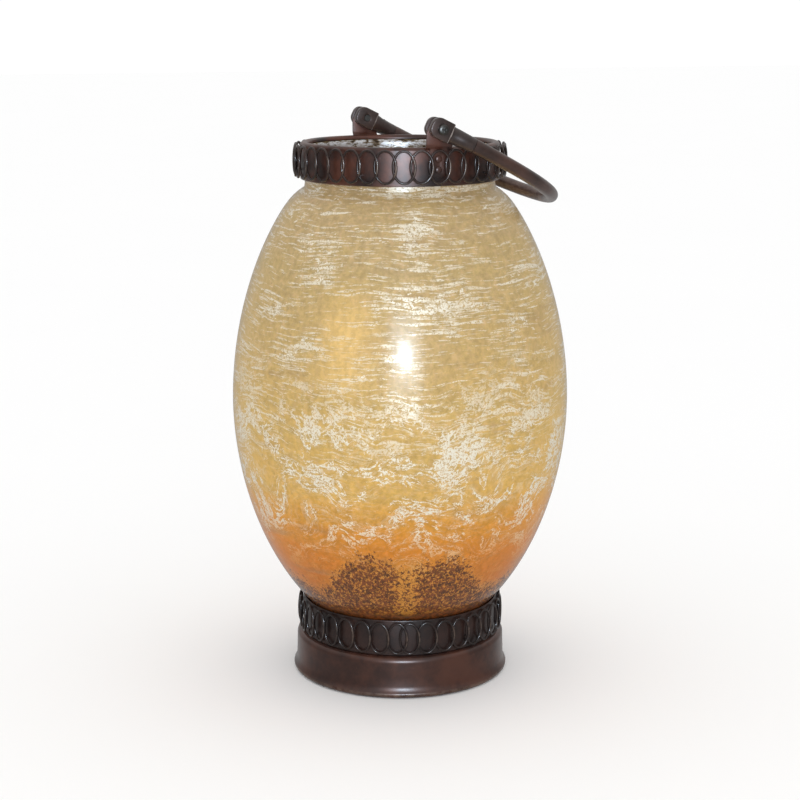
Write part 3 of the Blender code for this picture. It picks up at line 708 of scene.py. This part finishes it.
def barrel_tree():
    """The barrel: a sheet of rows and columns bent into an outer and an inner wall of revolution,
    each two half ellipses that meet at the belly and run into straight necks."""
    tree, nodes, given = piece_tree(
        "glass_barrel_shape",
        Int="Around, Levels",
        Float="Top, Bottom, Belly level, Belly radius, Upper reach, Lower reach, Power, "
        "Upper neck, Lower neck, Shoulder, Fade, Wall",
        Material="Glass, Lining",
    )
    levels, around = given["Levels"], given["Around"]
    rows = 2 * levels + 3
    sheet = nodes.add("GeometryNodeMeshGrid", Vertices_X=around + 1, Vertices_Y=rows)
    index = nodes.number(nodes.add("GeometryNodeInputIndex"))
    row = index.math("MODULO", rows)
    column = (index / rows).math("FLOOR")
    inner = row.math("GREATER_THAN", levels + 0.5)
    last = row.math("GREATER_THAN", 2 * levels + 1.5)
    inner = inner - last
    depth = row * (1 - inner - last) + inner * (2 * levels + 1 - row)
    z = given["Top"] - (given["Top"] - given["Bottom"]) * depth / levels
    rise = z - given["Belly level"]
    upper = rise.math("GREATER_THAN", 0.0)
    reach = given["Lower reach"] + (given["Upper reach"] - given["Lower reach"]) * upper
    neck = given["Lower neck"] + (given["Upper neck"] - given["Lower neck"]) * upper
    share = (rise / reach).math("ABSOLUTE") ** given["Power"]
    left = (1 - share).math("MAXIMUM", 0.0)
    radius = given["Belly radius"] * left ** (1 / given["Power"])
    under = ((given["Shoulder"] - z) / given["Fade"]).math("MAXIMUM", 0.0)
    tuck = (0 - under).math("EXPONENT")
    radius = radius + (neck - radius) * tuck * upper
    radius = radius.math("MAXIMUM", neck) - given["Wall"] * inner
    turn = -2 * pi * column / around
    spot = nodes.add(
        "ShaderNodeCombineXYZ", X=radius * turn.math("COSINE"),
        Y=radius * turn.math("SINE"), Z=z,
    )
    bent = nodes.add("GeometryNodeSetPosition", Geometry=sheet.outputs[0], Position=spot.outputs[0])
    closed = nodes.add("GeometryNodeMergeByDistance", Geometry=bent.outputs[0], Distance=0.00001)
    even = nodes.add("GeometryNodeSetShadeSmooth", Geometry=closed.outputs[0])
    level = nodes.add("ShaderNodeVectorMath", {"operation": "MULTIPLY"})
    put(tree, level.inputs[0], nodes.add("GeometryNodeInputPosition").outputs[0])
    put(tree, level.inputs[1], (1.0, 1.0, 0.0))
    facing = nodes.add("ShaderNodeVectorMath", {"operation": "DOT_PRODUCT"})
    put(tree, facing.inputs[0], nodes.add("GeometryNodeInputNormal").outputs[0])
    put(tree, facing.inputs[1], level.outputs[0])
    inward = nodes.number(facing, "Value").math("LESS_THAN", 0.0)
    finish_tree(nodes, even.outputs[0], (given["Glass"], None), (given["Lining"], inward))
    return tree


def ring_row_tree():
    """A row of oval wire rings bent round a band, each a little out of true."""
    tree, nodes, given = piece_tree(
        "ring_row_shape",
        Int="Count, Seed",
        Float="First angle, Pitch, Radius, Level, Half width, Half height, Wire, Lean, Bulge, "
        "Tilt, Stray",
        Material="Bronze",
    )
    points = 44
    loop = nodes.add(
        "GeometryNodeCurvePrimitiveCircle", {"mode": "RADIUS"}, Resolution=points, Radius=1.0
    )
    spots = nodes.add("GeometryNodePoints", Count=given["Count"])
    rings = nodes.add(
        "GeometryNodeInstanceOnPoints", Points=spots.outputs[0], Instance=loop.outputs[0]
    )
    rings = nodes.add("GeometryNodeRealizeInstances", Geometry=rings.outputs[0])
    index = nodes.number(nodes.add("GeometryNodeInputIndex"))
    ring = (index / points).math("FLOOR")

    def chance(offset):
        """A number from -1 to 1 for each ring."""
        node = nodes.add(
            "FunctionNodeRandomValue", {"data_type": "FLOAT"}, ID=ring, Seed=given["Seed"] + offset
        )
        put(tree, node.inputs[2], -1.0)
        put(tree, node.inputs[3], 1.0)
        return nodes.number(node, 1)

    place = nodes.add("GeometryNodeInputPosition").outputs[0]
    split = nodes.add("ShaderNodeSeparateXYZ", Vector=place)
    across, up = nodes.number(split, 0), nodes.number(split, 1)
    width = given["Half width"] * (1 + given["Stray"] * 50 * chance(1))
    tilt = given["Tilt"] * chance(2)
    u = width * across - tilt * given["Half height"] * up
    h = given["Half height"] * up + tilt * width * across
    h = h - given["Half height"] * 0.012 * chance(5)
    turn = given["First angle"] + given["Pitch"] * ring
    turn = turn + (u + given["Stray"] * chance(3)) / given["Radius"]
    radius = given["Radius"] - given["Bulge"] * up * up + given["Lean"] * across
    radius = radius + 0.6 * given["Lean"] * chance(4) * up
    spot = nodes.add(
        "ShaderNodeCombineXYZ", X=radius * turn.math("COSINE"),
        Y=radius * turn.math("SINE"), Z=given["Level"] + h,
    )
    bent = nodes.add("GeometryNodeSetPosition", Geometry=rings.outputs[0], Position=spot.outputs[0])
    section = nodes.add(
        "GeometryNodeCurvePrimitiveCircle", {"mode": "RADIUS"}, Resolution=10, Radius=given["Wire"]
    )
    wire = nodes.add(
        "GeometryNodeCurveToMesh", Curve=bent.outputs[0], Profile_Curve=section.outputs[0]
    )
    even = nodes.add("GeometryNodeSetShadeSmooth", Geometry=wire.outputs[0])
    finish_tree(nodes, even.outputs[0], (given["Bronze"], None))
    return tree


# ---- materials in use
BRONZE_FOOT = bronze_finish("bronze_foot", crest=0.0708)
# A darker copy of the foot's bronze: painted shade for the band behind the lower rings; the candle
# plate uses it too.
SHADED_BRONZE_BAND = bronze_finish("bronze_band_shaded", dark=(42, 28, 25), light=(70, 44, 36))
BRONZE_COLLAR = bronze_finish(
    "bronze_collar", rough=0.36, gloss=0.30, dark=(46, 29, 25), light=(116, 66, 48)
)
BRONZE_UPPER_RINGS = bronze_finish(
    "bronze_upper_rings", crest=0.0682, spread=0.0005, gloss=0.10, dark=(40, 27, 24),
    light=(66, 44, 36),
)
BRONZE_LOWER_RINGS = bronze_finish(
    "bronze_lower_rings", crest=0.0680, gloss=0.08, dark=(36, 25, 23), light=(58, 40, 34)
)
BRONZE_BAIL = bronze_finish(
    "bronze_bail", rough=0.32, dusty=True, dark=(62, 44, 39), light=(96, 66, 56)
)
BRONZE_FORK = bronze_finish(
    "bronze_fork", rough=0.32, dark=(54, 42, 39), light=(90, 72, 67), seam=0.0063
)
STEEL = steel_finish("plated_steel")
SCREW_STEEL = steel_finish("screw_steel", dark=0.7)


def cad_looks():
    """The pieces that keep their CAD shape."""
    looks = {
        "base_felt": felt_finish(), "base_plate": STEEL, "bolt_washer": STEEL,
        "plate_spacer": STEEL, "nut_washer": STEEL, "centre_nut": STEEL, "centre_bolt": STEEL,
        "glass_seat": cork_finish(), "collar_packing": cork_finish(),
    }
    for node, look in looks.items():
        frame["nodes"][node].data.materials.clear()
        frame["nodes"][node].data.materials.append(look)


# ---- foot and lower band
def foot():
    """A spun foot: soft shoulder, slight flare and a rolled lower edge."""
    shoulder, flare, roll = 0.0042, 0.0024, 0.0021
    top_radius = high("foot_shell").x - flare + 0.00003
    skirt_top = FOOT_TOP - shoulder
    roll_middle = top_radius + flare - roll
    roll_level = roll + GAP
    flare_level = skirt_top / 3
    outline = [(BOLT_HOLE, FOOT_TOP)]
    outline += arc(top_radius - shoulder, skirt_top, shoulder, 90, 0, 12)
    outline += [(top_radius + flare / 12, skirt_top * 0.62), (top_radius + flare / 6, flare_level)]
    outline += [(top_radius + flare / 3, flare_level * 0.80)]
    outline += arc(roll_middle, roll_level, roll, 50, -180, 16)
    outline += [(top_radius + flare / 6 - SHEET, flare_level)]
    outline += arc(top_radius - shoulder, skirt_top, shoulder - SHEET, 0, 90, 6)
    outline += [(BOLT_HOLE, FOOT_TOP - SHEET)]
    piece = turned("foot", outline, 160, BRONZE_FOOT)
    carry(piece, "lantern", "foot_shell", "foot_shell")


def band():
    """The cup behind the lower rings, with a round lip."""
    lip = SHEET / 2
    inner = BAND_RADIUS - SHEET
    outline = arc(BAND_RADIUS - lip, BAND_TOP - lip, lip, 180, 0, 8)
    outline += [(BAND_RADIUS, BAND_LOW), (BOLT_HOLE, BAND_LOW)]
    outline += [(BOLT_HOLE, BAND_LOW + SHEET), (inner, BAND_LOW + SHEET)]
    carry(turned("band", outline, 144, SHADED_BRONZE_BAND), "lantern", "lower_band", "lower_band")


def dish():
    """The candle plate, with an upright rim and a well in the middle for the nut."""
    radius = high("candle_plate").x
    rim = high("candle_plate").z
    top = rim - 0.0035
    under = top - SHEET
    well = top - 0.0064
    outline = [
        (radius, rim), (radius, under + 0.0008), (radius - 0.0008, under), (0.0122, under),
        (0.0122, well - SHEET), (BOLT_HOLE, well - SHEET), (BOLT_HOLE, well), (0.0110, well),
        (0.0110, top), (radius - SHEET, top), (radius - SHEET, rim),
    ]
    carry(turned("dish", outline, 96, SHADED_BRONZE_BAND), "lantern", "candle_plate", "candle_plate")


# ---- glass and candle
def barrel():
    """The glass barrel."""
    values = {
        "Around": 200, "Levels": 110, "Top": GLASS_TOP, "Bottom": GLASS_LOW,
        "Belly level": BELLY_LEVEL, "Belly radius": BELLY_RADIUS, "Upper reach": UPPER_REACH,
        "Lower reach": LOWER_REACH, "Power": BARREL_POWER, "Upper neck": UPPER_NECK,
        "Lower neck": LOWER_NECK, "Shoulder": COLLAR_LOW - NECK_DROP, "Fade": NECK_FADE,
        "Wall": GLASS_WALL, "Glass": glass_finish(), "Lining": glass_lining(),
    }
    piece = grown("barrel", barrel_tree(), values)
    carry(piece, "lantern", "glass", "glass_barrel")


def candle():
    """The pillar candle, dished round its wick."""
    middle = (low("candle") + high("candle")) / 2
    move = Matrix.Translation((middle.x, middle.y, 0))
    radius = (high("candle").x - low("candle").x) / 2
    bottom, top = low("candle").z, high("candle").z
    hole = 0.0016
    outline = [(0.0, top - 0.015), (hole, top - 0.015), (hole, top - 0.0024)]
    outline += [(0.010, top - 0.0022), (0.020, top - 0.0017), (0.028, top - 0.0008)]
    outline += arc(radius - 0.003, top - 0.003, 0.003, 90, 0, 8)
    outline += [(radius, bottom + 0.001), (radius - 0.001, bottom), (0.0, bottom)]
    piece = turned("pillar_candle", outline, 96, wax_finish(), closed=False, matrix=move)
    carry(piece, "candle", "wax", "candle")
    start, tip = low("candle_wick").z, high("candle_wick").z - 0.0004
    steps = 24
    circles = []
    for i in range(steps + 1):
        t = i / steps
        bend = 0.0012 * max(0.0, t - 0.5) ** 2 * 4
        twist = 0.00010 * cos(9 * pi * t)
        spot = Vector((middle.x + bend, middle.y, start + (tip - start) * t))
        circles.append(circle(spot, 0.0010 + twist, RIGHT, BACK, 16))
    wick = tube("wick", circles)
    wick.data.materials.append(cotton_finish())
    carry(smooth(wick, 60), "candle", "wick", "candle_wick")


# ---- collar, ears, rivets
def collar():
    """A straight band with a rolled rim."""
    wide = 0.0049
    half = wide / 2
    level = COLLAR_TOP - half
    middle = COLLAR_RADIUS - half
    outline = arc(middle, level, half, 180, 0, 20)
    outline += [(COLLAR_RADIUS, COLLAR_LOW + 0.0004), (COLLAR_RADIUS - 0.0004, COLLAR_LOW)]
    outline += [(COLLAR_RADIUS - SHEET, COLLAR_LOW)]
    outline += arc(middle, level, half - SHEET, 0, 180, 12)
    piece = turned("collar", outline, 160, BRONZE_COLLAR)
    carry(piece, "lantern", "collar_band", "collar_band")


def ear(name, side):
    """A strap riveted to the collar, joggled out past the rim, with a wide round end."""
    half, strap = 0.00825, 0.0055
    top = PIVOT.z + 0.0047
    step = COLLAR_TOP - 0.0005
    foot_level = COLLAR_LOW + 0.0055
    front = [(-strap + 0.001, foot_level), (strap - 0.001, foot_level), (strap, foot_level + 0.001)]
    front += [(strap, step), (half, step)]
    front += arc(0.0, top - half, half, 0, 180, 28)
    front += [(-half, step), (-strap, step), (-strap, foot_level + 0.001)]
    bend = step - EAR_STEP / 2
    near, far = EAR_FACE, EAR_FACE + EAR_STEP
    line = [(near, COLLAR_LOW), (near, bend - 0.0006), (near + 0.0001, bend)]
    for t in (0.2, 0.4, 0.6, 0.8):
        line.append((near + EAR_STEP * t * t * (3 - 2 * t), bend + 0.0035 * t))
    line += [(far, bend + 0.0037), (far, top + 0.005)]
    strip = line + [(y + EAR_THICK, z) for y, z in reversed(line)]
    along_x = Matrix(((0, 0, 1, 0), (1, 0, 0, 0), (0, 1, 0, 0), (0, 0, 0, 1)))
    along_y = Matrix(((1, 0, 0, 0), (0, 0, -1, 0), (0, 1, 0, 0), (0, 0, 0, 1)))
    piece = plate(name, strip, 2 * half, along_x)
    combine(piece, "INTERSECT", plate("ear_face", front, 2 * COLLAR_RADIUS, along_y))
    drills = [cylinder(PIVOT_HOLE, (0, 0.03, PIVOT.z), (0, 0.12, PIVOT.z))]
    for rivet_level in RIVET_LEVELS:
        z = COLLAR_LOW + rivet_level
        drills.append(cylinder(RIVET_HOLE, (0, 0.03, z), (0, 0.12, z), 20))
    combine(piece, "DIFFERENCE", *drills)
    if side < 0:
        piece.data.transform(Matrix.Rotation(pi, 4, "Z"))
    rounded(piece, 0.00022, 2, 50)
    piece.data.materials.append(BRONZE_COLLAR)
    smooth(piece, 40)
    carry(piece, "lantern", "ears", name)


def upright(side, y, z):
    """Turns +Z to point outwards at this side, and moves to (0, y, z)."""
    return Matrix.Translation((0, y, z)) @ Matrix.Rotation(-side * pi / 2, 4, "X")


def rivets():
    """Two rivets for each ear, headed outside and inside."""
    outer = EAR_FACE + EAR_THICK + GAP
    inner = COLLAR_RADIUS - SHEET - GAP
    outline = [(0.0, outer + 0.0006), (0.0008, outer + 0.00056), (0.0014, outer + 0.00042)]
    outline += [(0.0019, outer + 0.0002), (0.0021, outer), (0.0012, outer), (0.0012, inner)]
    outline += [(0.0021, inner), (0.0020, inner - 0.0004), (0.0017, inner - 0.0006)]
    outline += [(0.0, inner - 0.0006)]
    number = 0
    for side in (1, -1):
        for rivet_level in RIVET_LEVELS:
            number += 1
            name = f"ear_rivet_{number}"
            matrix = upright(side, 0, COLLAR_LOW + rivet_level)
            piece = turned(f"rivet_{number}", outline, 24, BRONZE_COLLAR, False, matrix)
            carry(piece, "lantern", "rivets", name)


def washers():
    """One washer on each side of each ear, inside its fork."""
    near = EAR_MIDDLE - EAR_THICK / 2 - GAP - WASHER_THICK
    far = EAR_MIDDLE + EAR_THICK / 2 + GAP
    for end, side in ENDS:
        for face, start in (("inner", near), ("outer", far)):
            name = f"washer_{end}_{face}"
            r, stop = WASHER_RADIUS, start + WASHER_THICK
            outline = [(r - 0.0001, stop), (r, stop - 0.0001), (r, start + 0.0001)]
            outline += [(r - 0.0001, start), (PIVOT_HOLE, start), (PIVOT_HOLE, stop)]
            piece = turned(name + "_turned", outline, 40, STEEL, True, upright(side, 0, PIVOT.z))
            carry(piece, "lantern", "washers", name)


# ---- rows of rings
UPPER_COUNT = 38
UPPER_OFFSET = 0.0037  # from the collar's face to the middle of the wire
UPPER_SHARE = 1.34  # width of a ring over its pitch
LOWER_COUNT = 36
LOWER_OFFSET = 0.0024
LOWER_SHARE = 1.19
LOWER_START = radians(-105.8)
LOWER_SEAM = radians(6.7)  # from the last ring of the lower row round to the first
STUDS = 6
STUD_RADIUS = 0.0007


def ring_row(name, node, tree, material, wall, share, values):
    """A row of rings that fills the height of its CAD node, on studs that reach in to the wall."""
    bottom, top = low(node).z, high(node).z
    radius, pitch, count = values["Radius"], values["Pitch"], values["Count"]
    level = (bottom + top) / 2
    half_width = radius * pitch * share / 2 - RING_WIRE
    half_height = (top - bottom) / 2 - RING_WIRE
    values.update({
        "Level": level, "Half width": half_width, "Half height": half_height,
        "Wire": RING_WIRE, "Bulge": 0.0006, "Bronze": material,
    })
    piece = grown(name, tree, values)
    shape = bmesh.new()
    shape.from_mesh(piece.data)
    for i in range(STUDS):
        gap = i * (count - 1) // STUDS + 3
        turn = values["First angle"] + (gap + 0.5) * pitch
        crossing = radius * pitch / 2 / half_width
        z = level - half_height * (1 - crossing * crossing) ** 0.5
        out, up = Vector((cos(turn), sin(turn), 0)), Vector((0, 0, z))
        add_bar(shape, STUD_RADIUS, out * wall + up, out * radius + up, 12)
    shape.to_mesh(piece.data)
    shape.free()
    carry(smooth(piece, 50), "lantern", name, node)


def ring_rows():
    """The row on the collar, and the row on the band with its seam at the front."""
    tree = ring_row_tree()
    upper = {
        "Count": UPPER_COUNT, "First angle": -pi / 2, "Pitch": 2 * pi / UPPER_COUNT,
        "Radius": COLLAR_RADIUS + UPPER_OFFSET, "Lean": 0.0004, "Tilt": 0.030, "Stray": 0.00040,
        "Seed": 4,
    }
    ring_row(
        "upper_rings", "upper_ring_row", tree, BRONZE_UPPER_RINGS, COLLAR_RADIUS + GAP,
        UPPER_SHARE, upper,
    )
    lower = {
        "Count": LOWER_COUNT, "First angle": LOWER_START,
        "Pitch": (2 * pi - LOWER_SEAM) / (LOWER_COUNT - 1), "Radius": BAND_RADIUS + LOWER_OFFSET,
        "Lean": 0.0005, "Tilt": 0.045, "Stray": 0.0003, "Seed": 9,
    }
    ring_row(
        "lower_rings", "lower_ring_row", tree, BRONZE_LOWER_RINGS, BAND_RADIUS + GAP,
        LOWER_SHARE, lower,
    )


# ---- bail
def splay(s):
    """How far a ferrule's middle leans outwards at the distance s from the pivot."""
    t = min(max((s - FORK_FRONT) / (FERRULE_LENGTH - FORK_FRONT) / 0.75, 0.0), 1.0)
    return FORK_SPLAY * t * t * (3 - 2 * t)


def ferrule(name, node, side):
    """A fork with two flat cheeks that narrows to a round mouth for the rod."""
    half = FORK_WIDTH / 2
    middle = side * EAR_MIDDLE
    outline = [(FORK_FRONT, -half), (FORK_FRONT, half)]
    outline += arc(FORK_ROUND - FORK_BACK, half - FORK_ROUND, FORK_ROUND, 90, 180, 14)
    outline += arc(FORK_ROUND - FORK_BACK, FORK_ROUND - half, FORK_ROUND, 180, 270, 14)
    laid = Matrix(((1, 0, 0, 0), (0, 0, -1, middle), (0, 1, 0, 0), (0, 0, 0, 1)))
    piece = rounded(plate(name, outline, FORK_THICK / 2, laid), 0.0007, 3, 40)
    start = FORK_FRONT - 0.002
    length = FERRULE_LENGTH - start
    stations = []
    for i in range(19):
        s = start + length * i / 18
        radius = FORK_THICK / 2 - (FORK_THICK / 2 - FERRULE_MOUTH) * sin(pi / 2 * i / 18)
        stations.append((Vector((s, middle + side * splay(s), 0.0)), radius))
    slot_half = EAR_THICK / 2 + WASHER_THICK + 2 * GAP
    combine(piece, "UNION", rod("cone", stations, 48))
    slot = block((-0.02, middle - slot_half, -0.02), (SLOT_DEPTH, middle + slot_half, 0.02))
    bore = cylinder(PIVOT_HOLE, (0, middle - 0.02, 0), (0, middle + 0.02, 0))
    y = side * BAIL_HALF_WIDTH
    deep, mouth = (FERRULE_LENGTH - SOCKET_DEPTH, y, 0), (FERRULE_LENGTH + 0.002, y, 0)
    combine(piece, "DIFFERENCE", slot, bore, cylinder(SOCKET_RADIUS, deep, mouth))
    rounded(piece, 0.00025, 2, 50)
    piece.data.transform(TO_BAIL)
    piece.data.materials.append(BRONZE_FORK)
    carry(smooth(piece, 35), "bail", "ferrules", node)


def bail_rod():
    """The bent rod: two quarters of a squarish ellipse, with a spigot at each end."""
    mouth = FERRULE_LENGTH + GAP
    power = 2 / 1.9
    count = 60
    leg = []
    for i in range(count + 1):
        turn = pi / 2 * i / count
        s = mouth + (BAIL_REACH - mouth) * sin(turn) ** power
        y = BAIL_HALF_WIDTH * max(cos(turn), 0.0) ** power
        part = min((s - mouth) / 0.025, 1.0)
        leg.append((s, y, FERRULE_MOUTH + (ROD_RADIUS - FERRULE_MOUTH) * part))
    leg[0] = (mouth, BAIL_HALF_WIDTH, FERRULE_MOUTH - 0.00015)
    for s in (mouth - 0.0001, mouth - SOCKET_DEPTH):
        leg.insert(0, (s, BAIL_HALF_WIDTH, SPIGOT_RADIUS))
    route = leg + [(s, -y, r) for s, y, r in reversed(leg[:-1])]
    stations = [(Vector((s, y, 0.0)), r) for s, y, r in route]
    piece = rod("hoop", stations, 32)
    piece.data.transform(TO_BAIL)
    piece.data.materials.append(BRONZE_BAIL)
    carry(smooth(piece, 40), "bail", "bail_rod", "bail_rod")


def pivot_screw(name, node, side):
    """A pan-head screw with a cross drive, through fork and ear."""
    head, rise, edge, shank = 0.0032, 0.0019, 0.0006, 0.0020
    outline = [(0.0, rise)]
    for i in range(1, 9):
        turn = pi / 2 * i / 8
        outline.append((head * sin(turn), edge + (rise - edge) * cos(turn) ** 0.8))
    outline += [(head, 0.0), (shank, 0.0), (shank, -FORK_THICK - GAP), (0.0, -FORK_THICK - GAP)]
    piece = turned(name, outline, 40, SCREW_STEEL, False)
    arm, half, depth = head * 0.55, 0.0004, rise - 0.0010
    cross = block((-arm, -half, depth), (arm, half, 0.004))
    combine(cross, "UNION", block((-half, -arm, depth), (half, arm, 0.0041)))
    combine(piece, "DIFFERENCE", cross)
    outwards = side * (EAR_MIDDLE + FORK_THICK / 2 + GAP)
    twist = Matrix.Rotation(radians(24), 4, "Z")
    piece.data.transform(TO_BAIL @ upright(side, outwards, 0) @ twist)
    carry(smooth(piece, 35), "bail", "pivot_screws", node)


# ---- build
cad_looks()
foot()
band()
dish()
barrel()
candle()
collar()
ear("ear_rear", 1)
ear("ear_front", -1)
rivets()
washers()
ring_rows()
for bail_end, bail_side in ENDS:
    ferrule(f"fork_{bail_end}", f"ferrule_{bail_end}", bail_side)
    pivot_screw(f"screw_{bail_end}", f"pivot_screw_{bail_end}", bail_side)
bail_rod()


# ---- stage, light and camera
VIEW = radians(-21.0)  # bearing of the camera
CAMERA_AWAY = 1.176
CAMERA_HEIGHT = 0.427
CAMERA_DIP = radians(11.9)
CAMERA_LENS = 82.98
LAMP_BEARING = radians(-17.5)
LAMP_AWAY = 1.35
LAMP_HEIGHT = 0.465
LAMP_AIM = (0, 0, 0.21)
COOL = (0.70, 0.85, 1.0)
DOME = 1.03  # strength of the white dome


def floor():
    """A pale floor that polished metal does not see."""
    shape = bmesh.new()
    bmesh.ops.create_grid(shape, x_segments=1, y_segments=1, size=12.0)
    ground = meshed("floor", shape)
    f = Finish("pale_floor", Roughness=0.9, Specular_IOR_Level=0.0)
    shade = f.noise(3, 2, 0.5)
    white = f.blend(shade, (0.955, 0.955, 0.955), (0.965, 0.965, 0.965))
    ground.data.materials.append(f.use(Base_Color=white))
    ground.visible_glossy = False


def lamp(name, width, height, power, colour=(1, 1, 1), matte=True):
    """A soft box near the camera. Without matte it is only seen in reflections."""
    data = bpy.data.lights.new(name, "AREA")
    data.shape = "RECTANGLE"
    data.size, data.size_y = width, height
    data.energy = power
    data.color = colour
    obj = keep(name, data)
    spot = Vector((LAMP_AWAY * sin(LAMP_BEARING), -LAMP_AWAY * cos(LAMP_BEARING), LAMP_HEIGHT))
    obj.location = spot
    obj.rotation_euler = (Vector(LAMP_AIM) - spot).to_track_quat("-Z", "Y").to_euler()
    obj.visible_diffuse = matte


def camera():
    """The view from the front, a little above."""
    data = bpy.data.cameras.new("camera")
    data.sensor_width = 36.0
    data.lens = CAMERA_LENS
    data.clip_start = 0.01
    obj = keep("camera", data)
    obj.location = (CAMERA_AWAY * sin(VIEW), -CAMERA_AWAY * cos(VIEW), CAMERA_HEIGHT)
    obj.rotation_euler = (pi / 2 - CAMERA_DIP, 0, VIEW)
    bpy.context.scene.camera = obj


def sky():
    """An even white dome. Reflections see it as a dim room with a paler window behind the
    camera, so that dark metal stays dark."""
    world = bpy.data.worlds.new("studio")
    bpy.context.scene.world = world
    world.use_nodes = True
    n = Nodes(world.node_tree)
    gloss = n.number(n.add("ShaderNodeLightPath"), "Is Glossy Ray")
    split = n.add("ShaderNodeSeparateXYZ", Vector=n.add("ShaderNodeTexCoord").outputs["Generated"])
    x, y, z = (n.number(split, i) for i in range(3))
    right = x * cos(VIEW) + y * sin(VIEW)
    front = x * sin(VIEW) - y * cos(VIEW)
    room = 0.16 + 0.34 * z.step(0.1, 0.9) + 0.10 * (0 - z).step(0.0, 0.6)
    room = room + 0.18 * (0 - front).step(0.45, 0.95)
    window = (0.16 - right.math("ABSOLUTE")).step(0.0, 0.10) * front.step(0.5, 0.9)
    window = window * (z + 0.3).step(0.0, 0.2)
    light = world.node_tree.nodes["Background"].inputs
    put(n.tree, light["Strength"], DOME + gloss * (room + 0.5 * window - DOME))
    tone = n.blend(gloss * window, (1.0, 1.0, 1.0), (0.80, 0.90, 1.0))
    put(n.tree, light["Color"], tone)


floor()
sky()
camera()
lamp("glint", 0.17, 0.11, 4.5, COOL, matte=False)
lamp("halo", 0.44, 0.60, 6.0, COOL, matte=False)
lamp("fill", 0.60, 0.60, 2.0)
bpy.context.scene.view_settings.view_transform = "Standard"
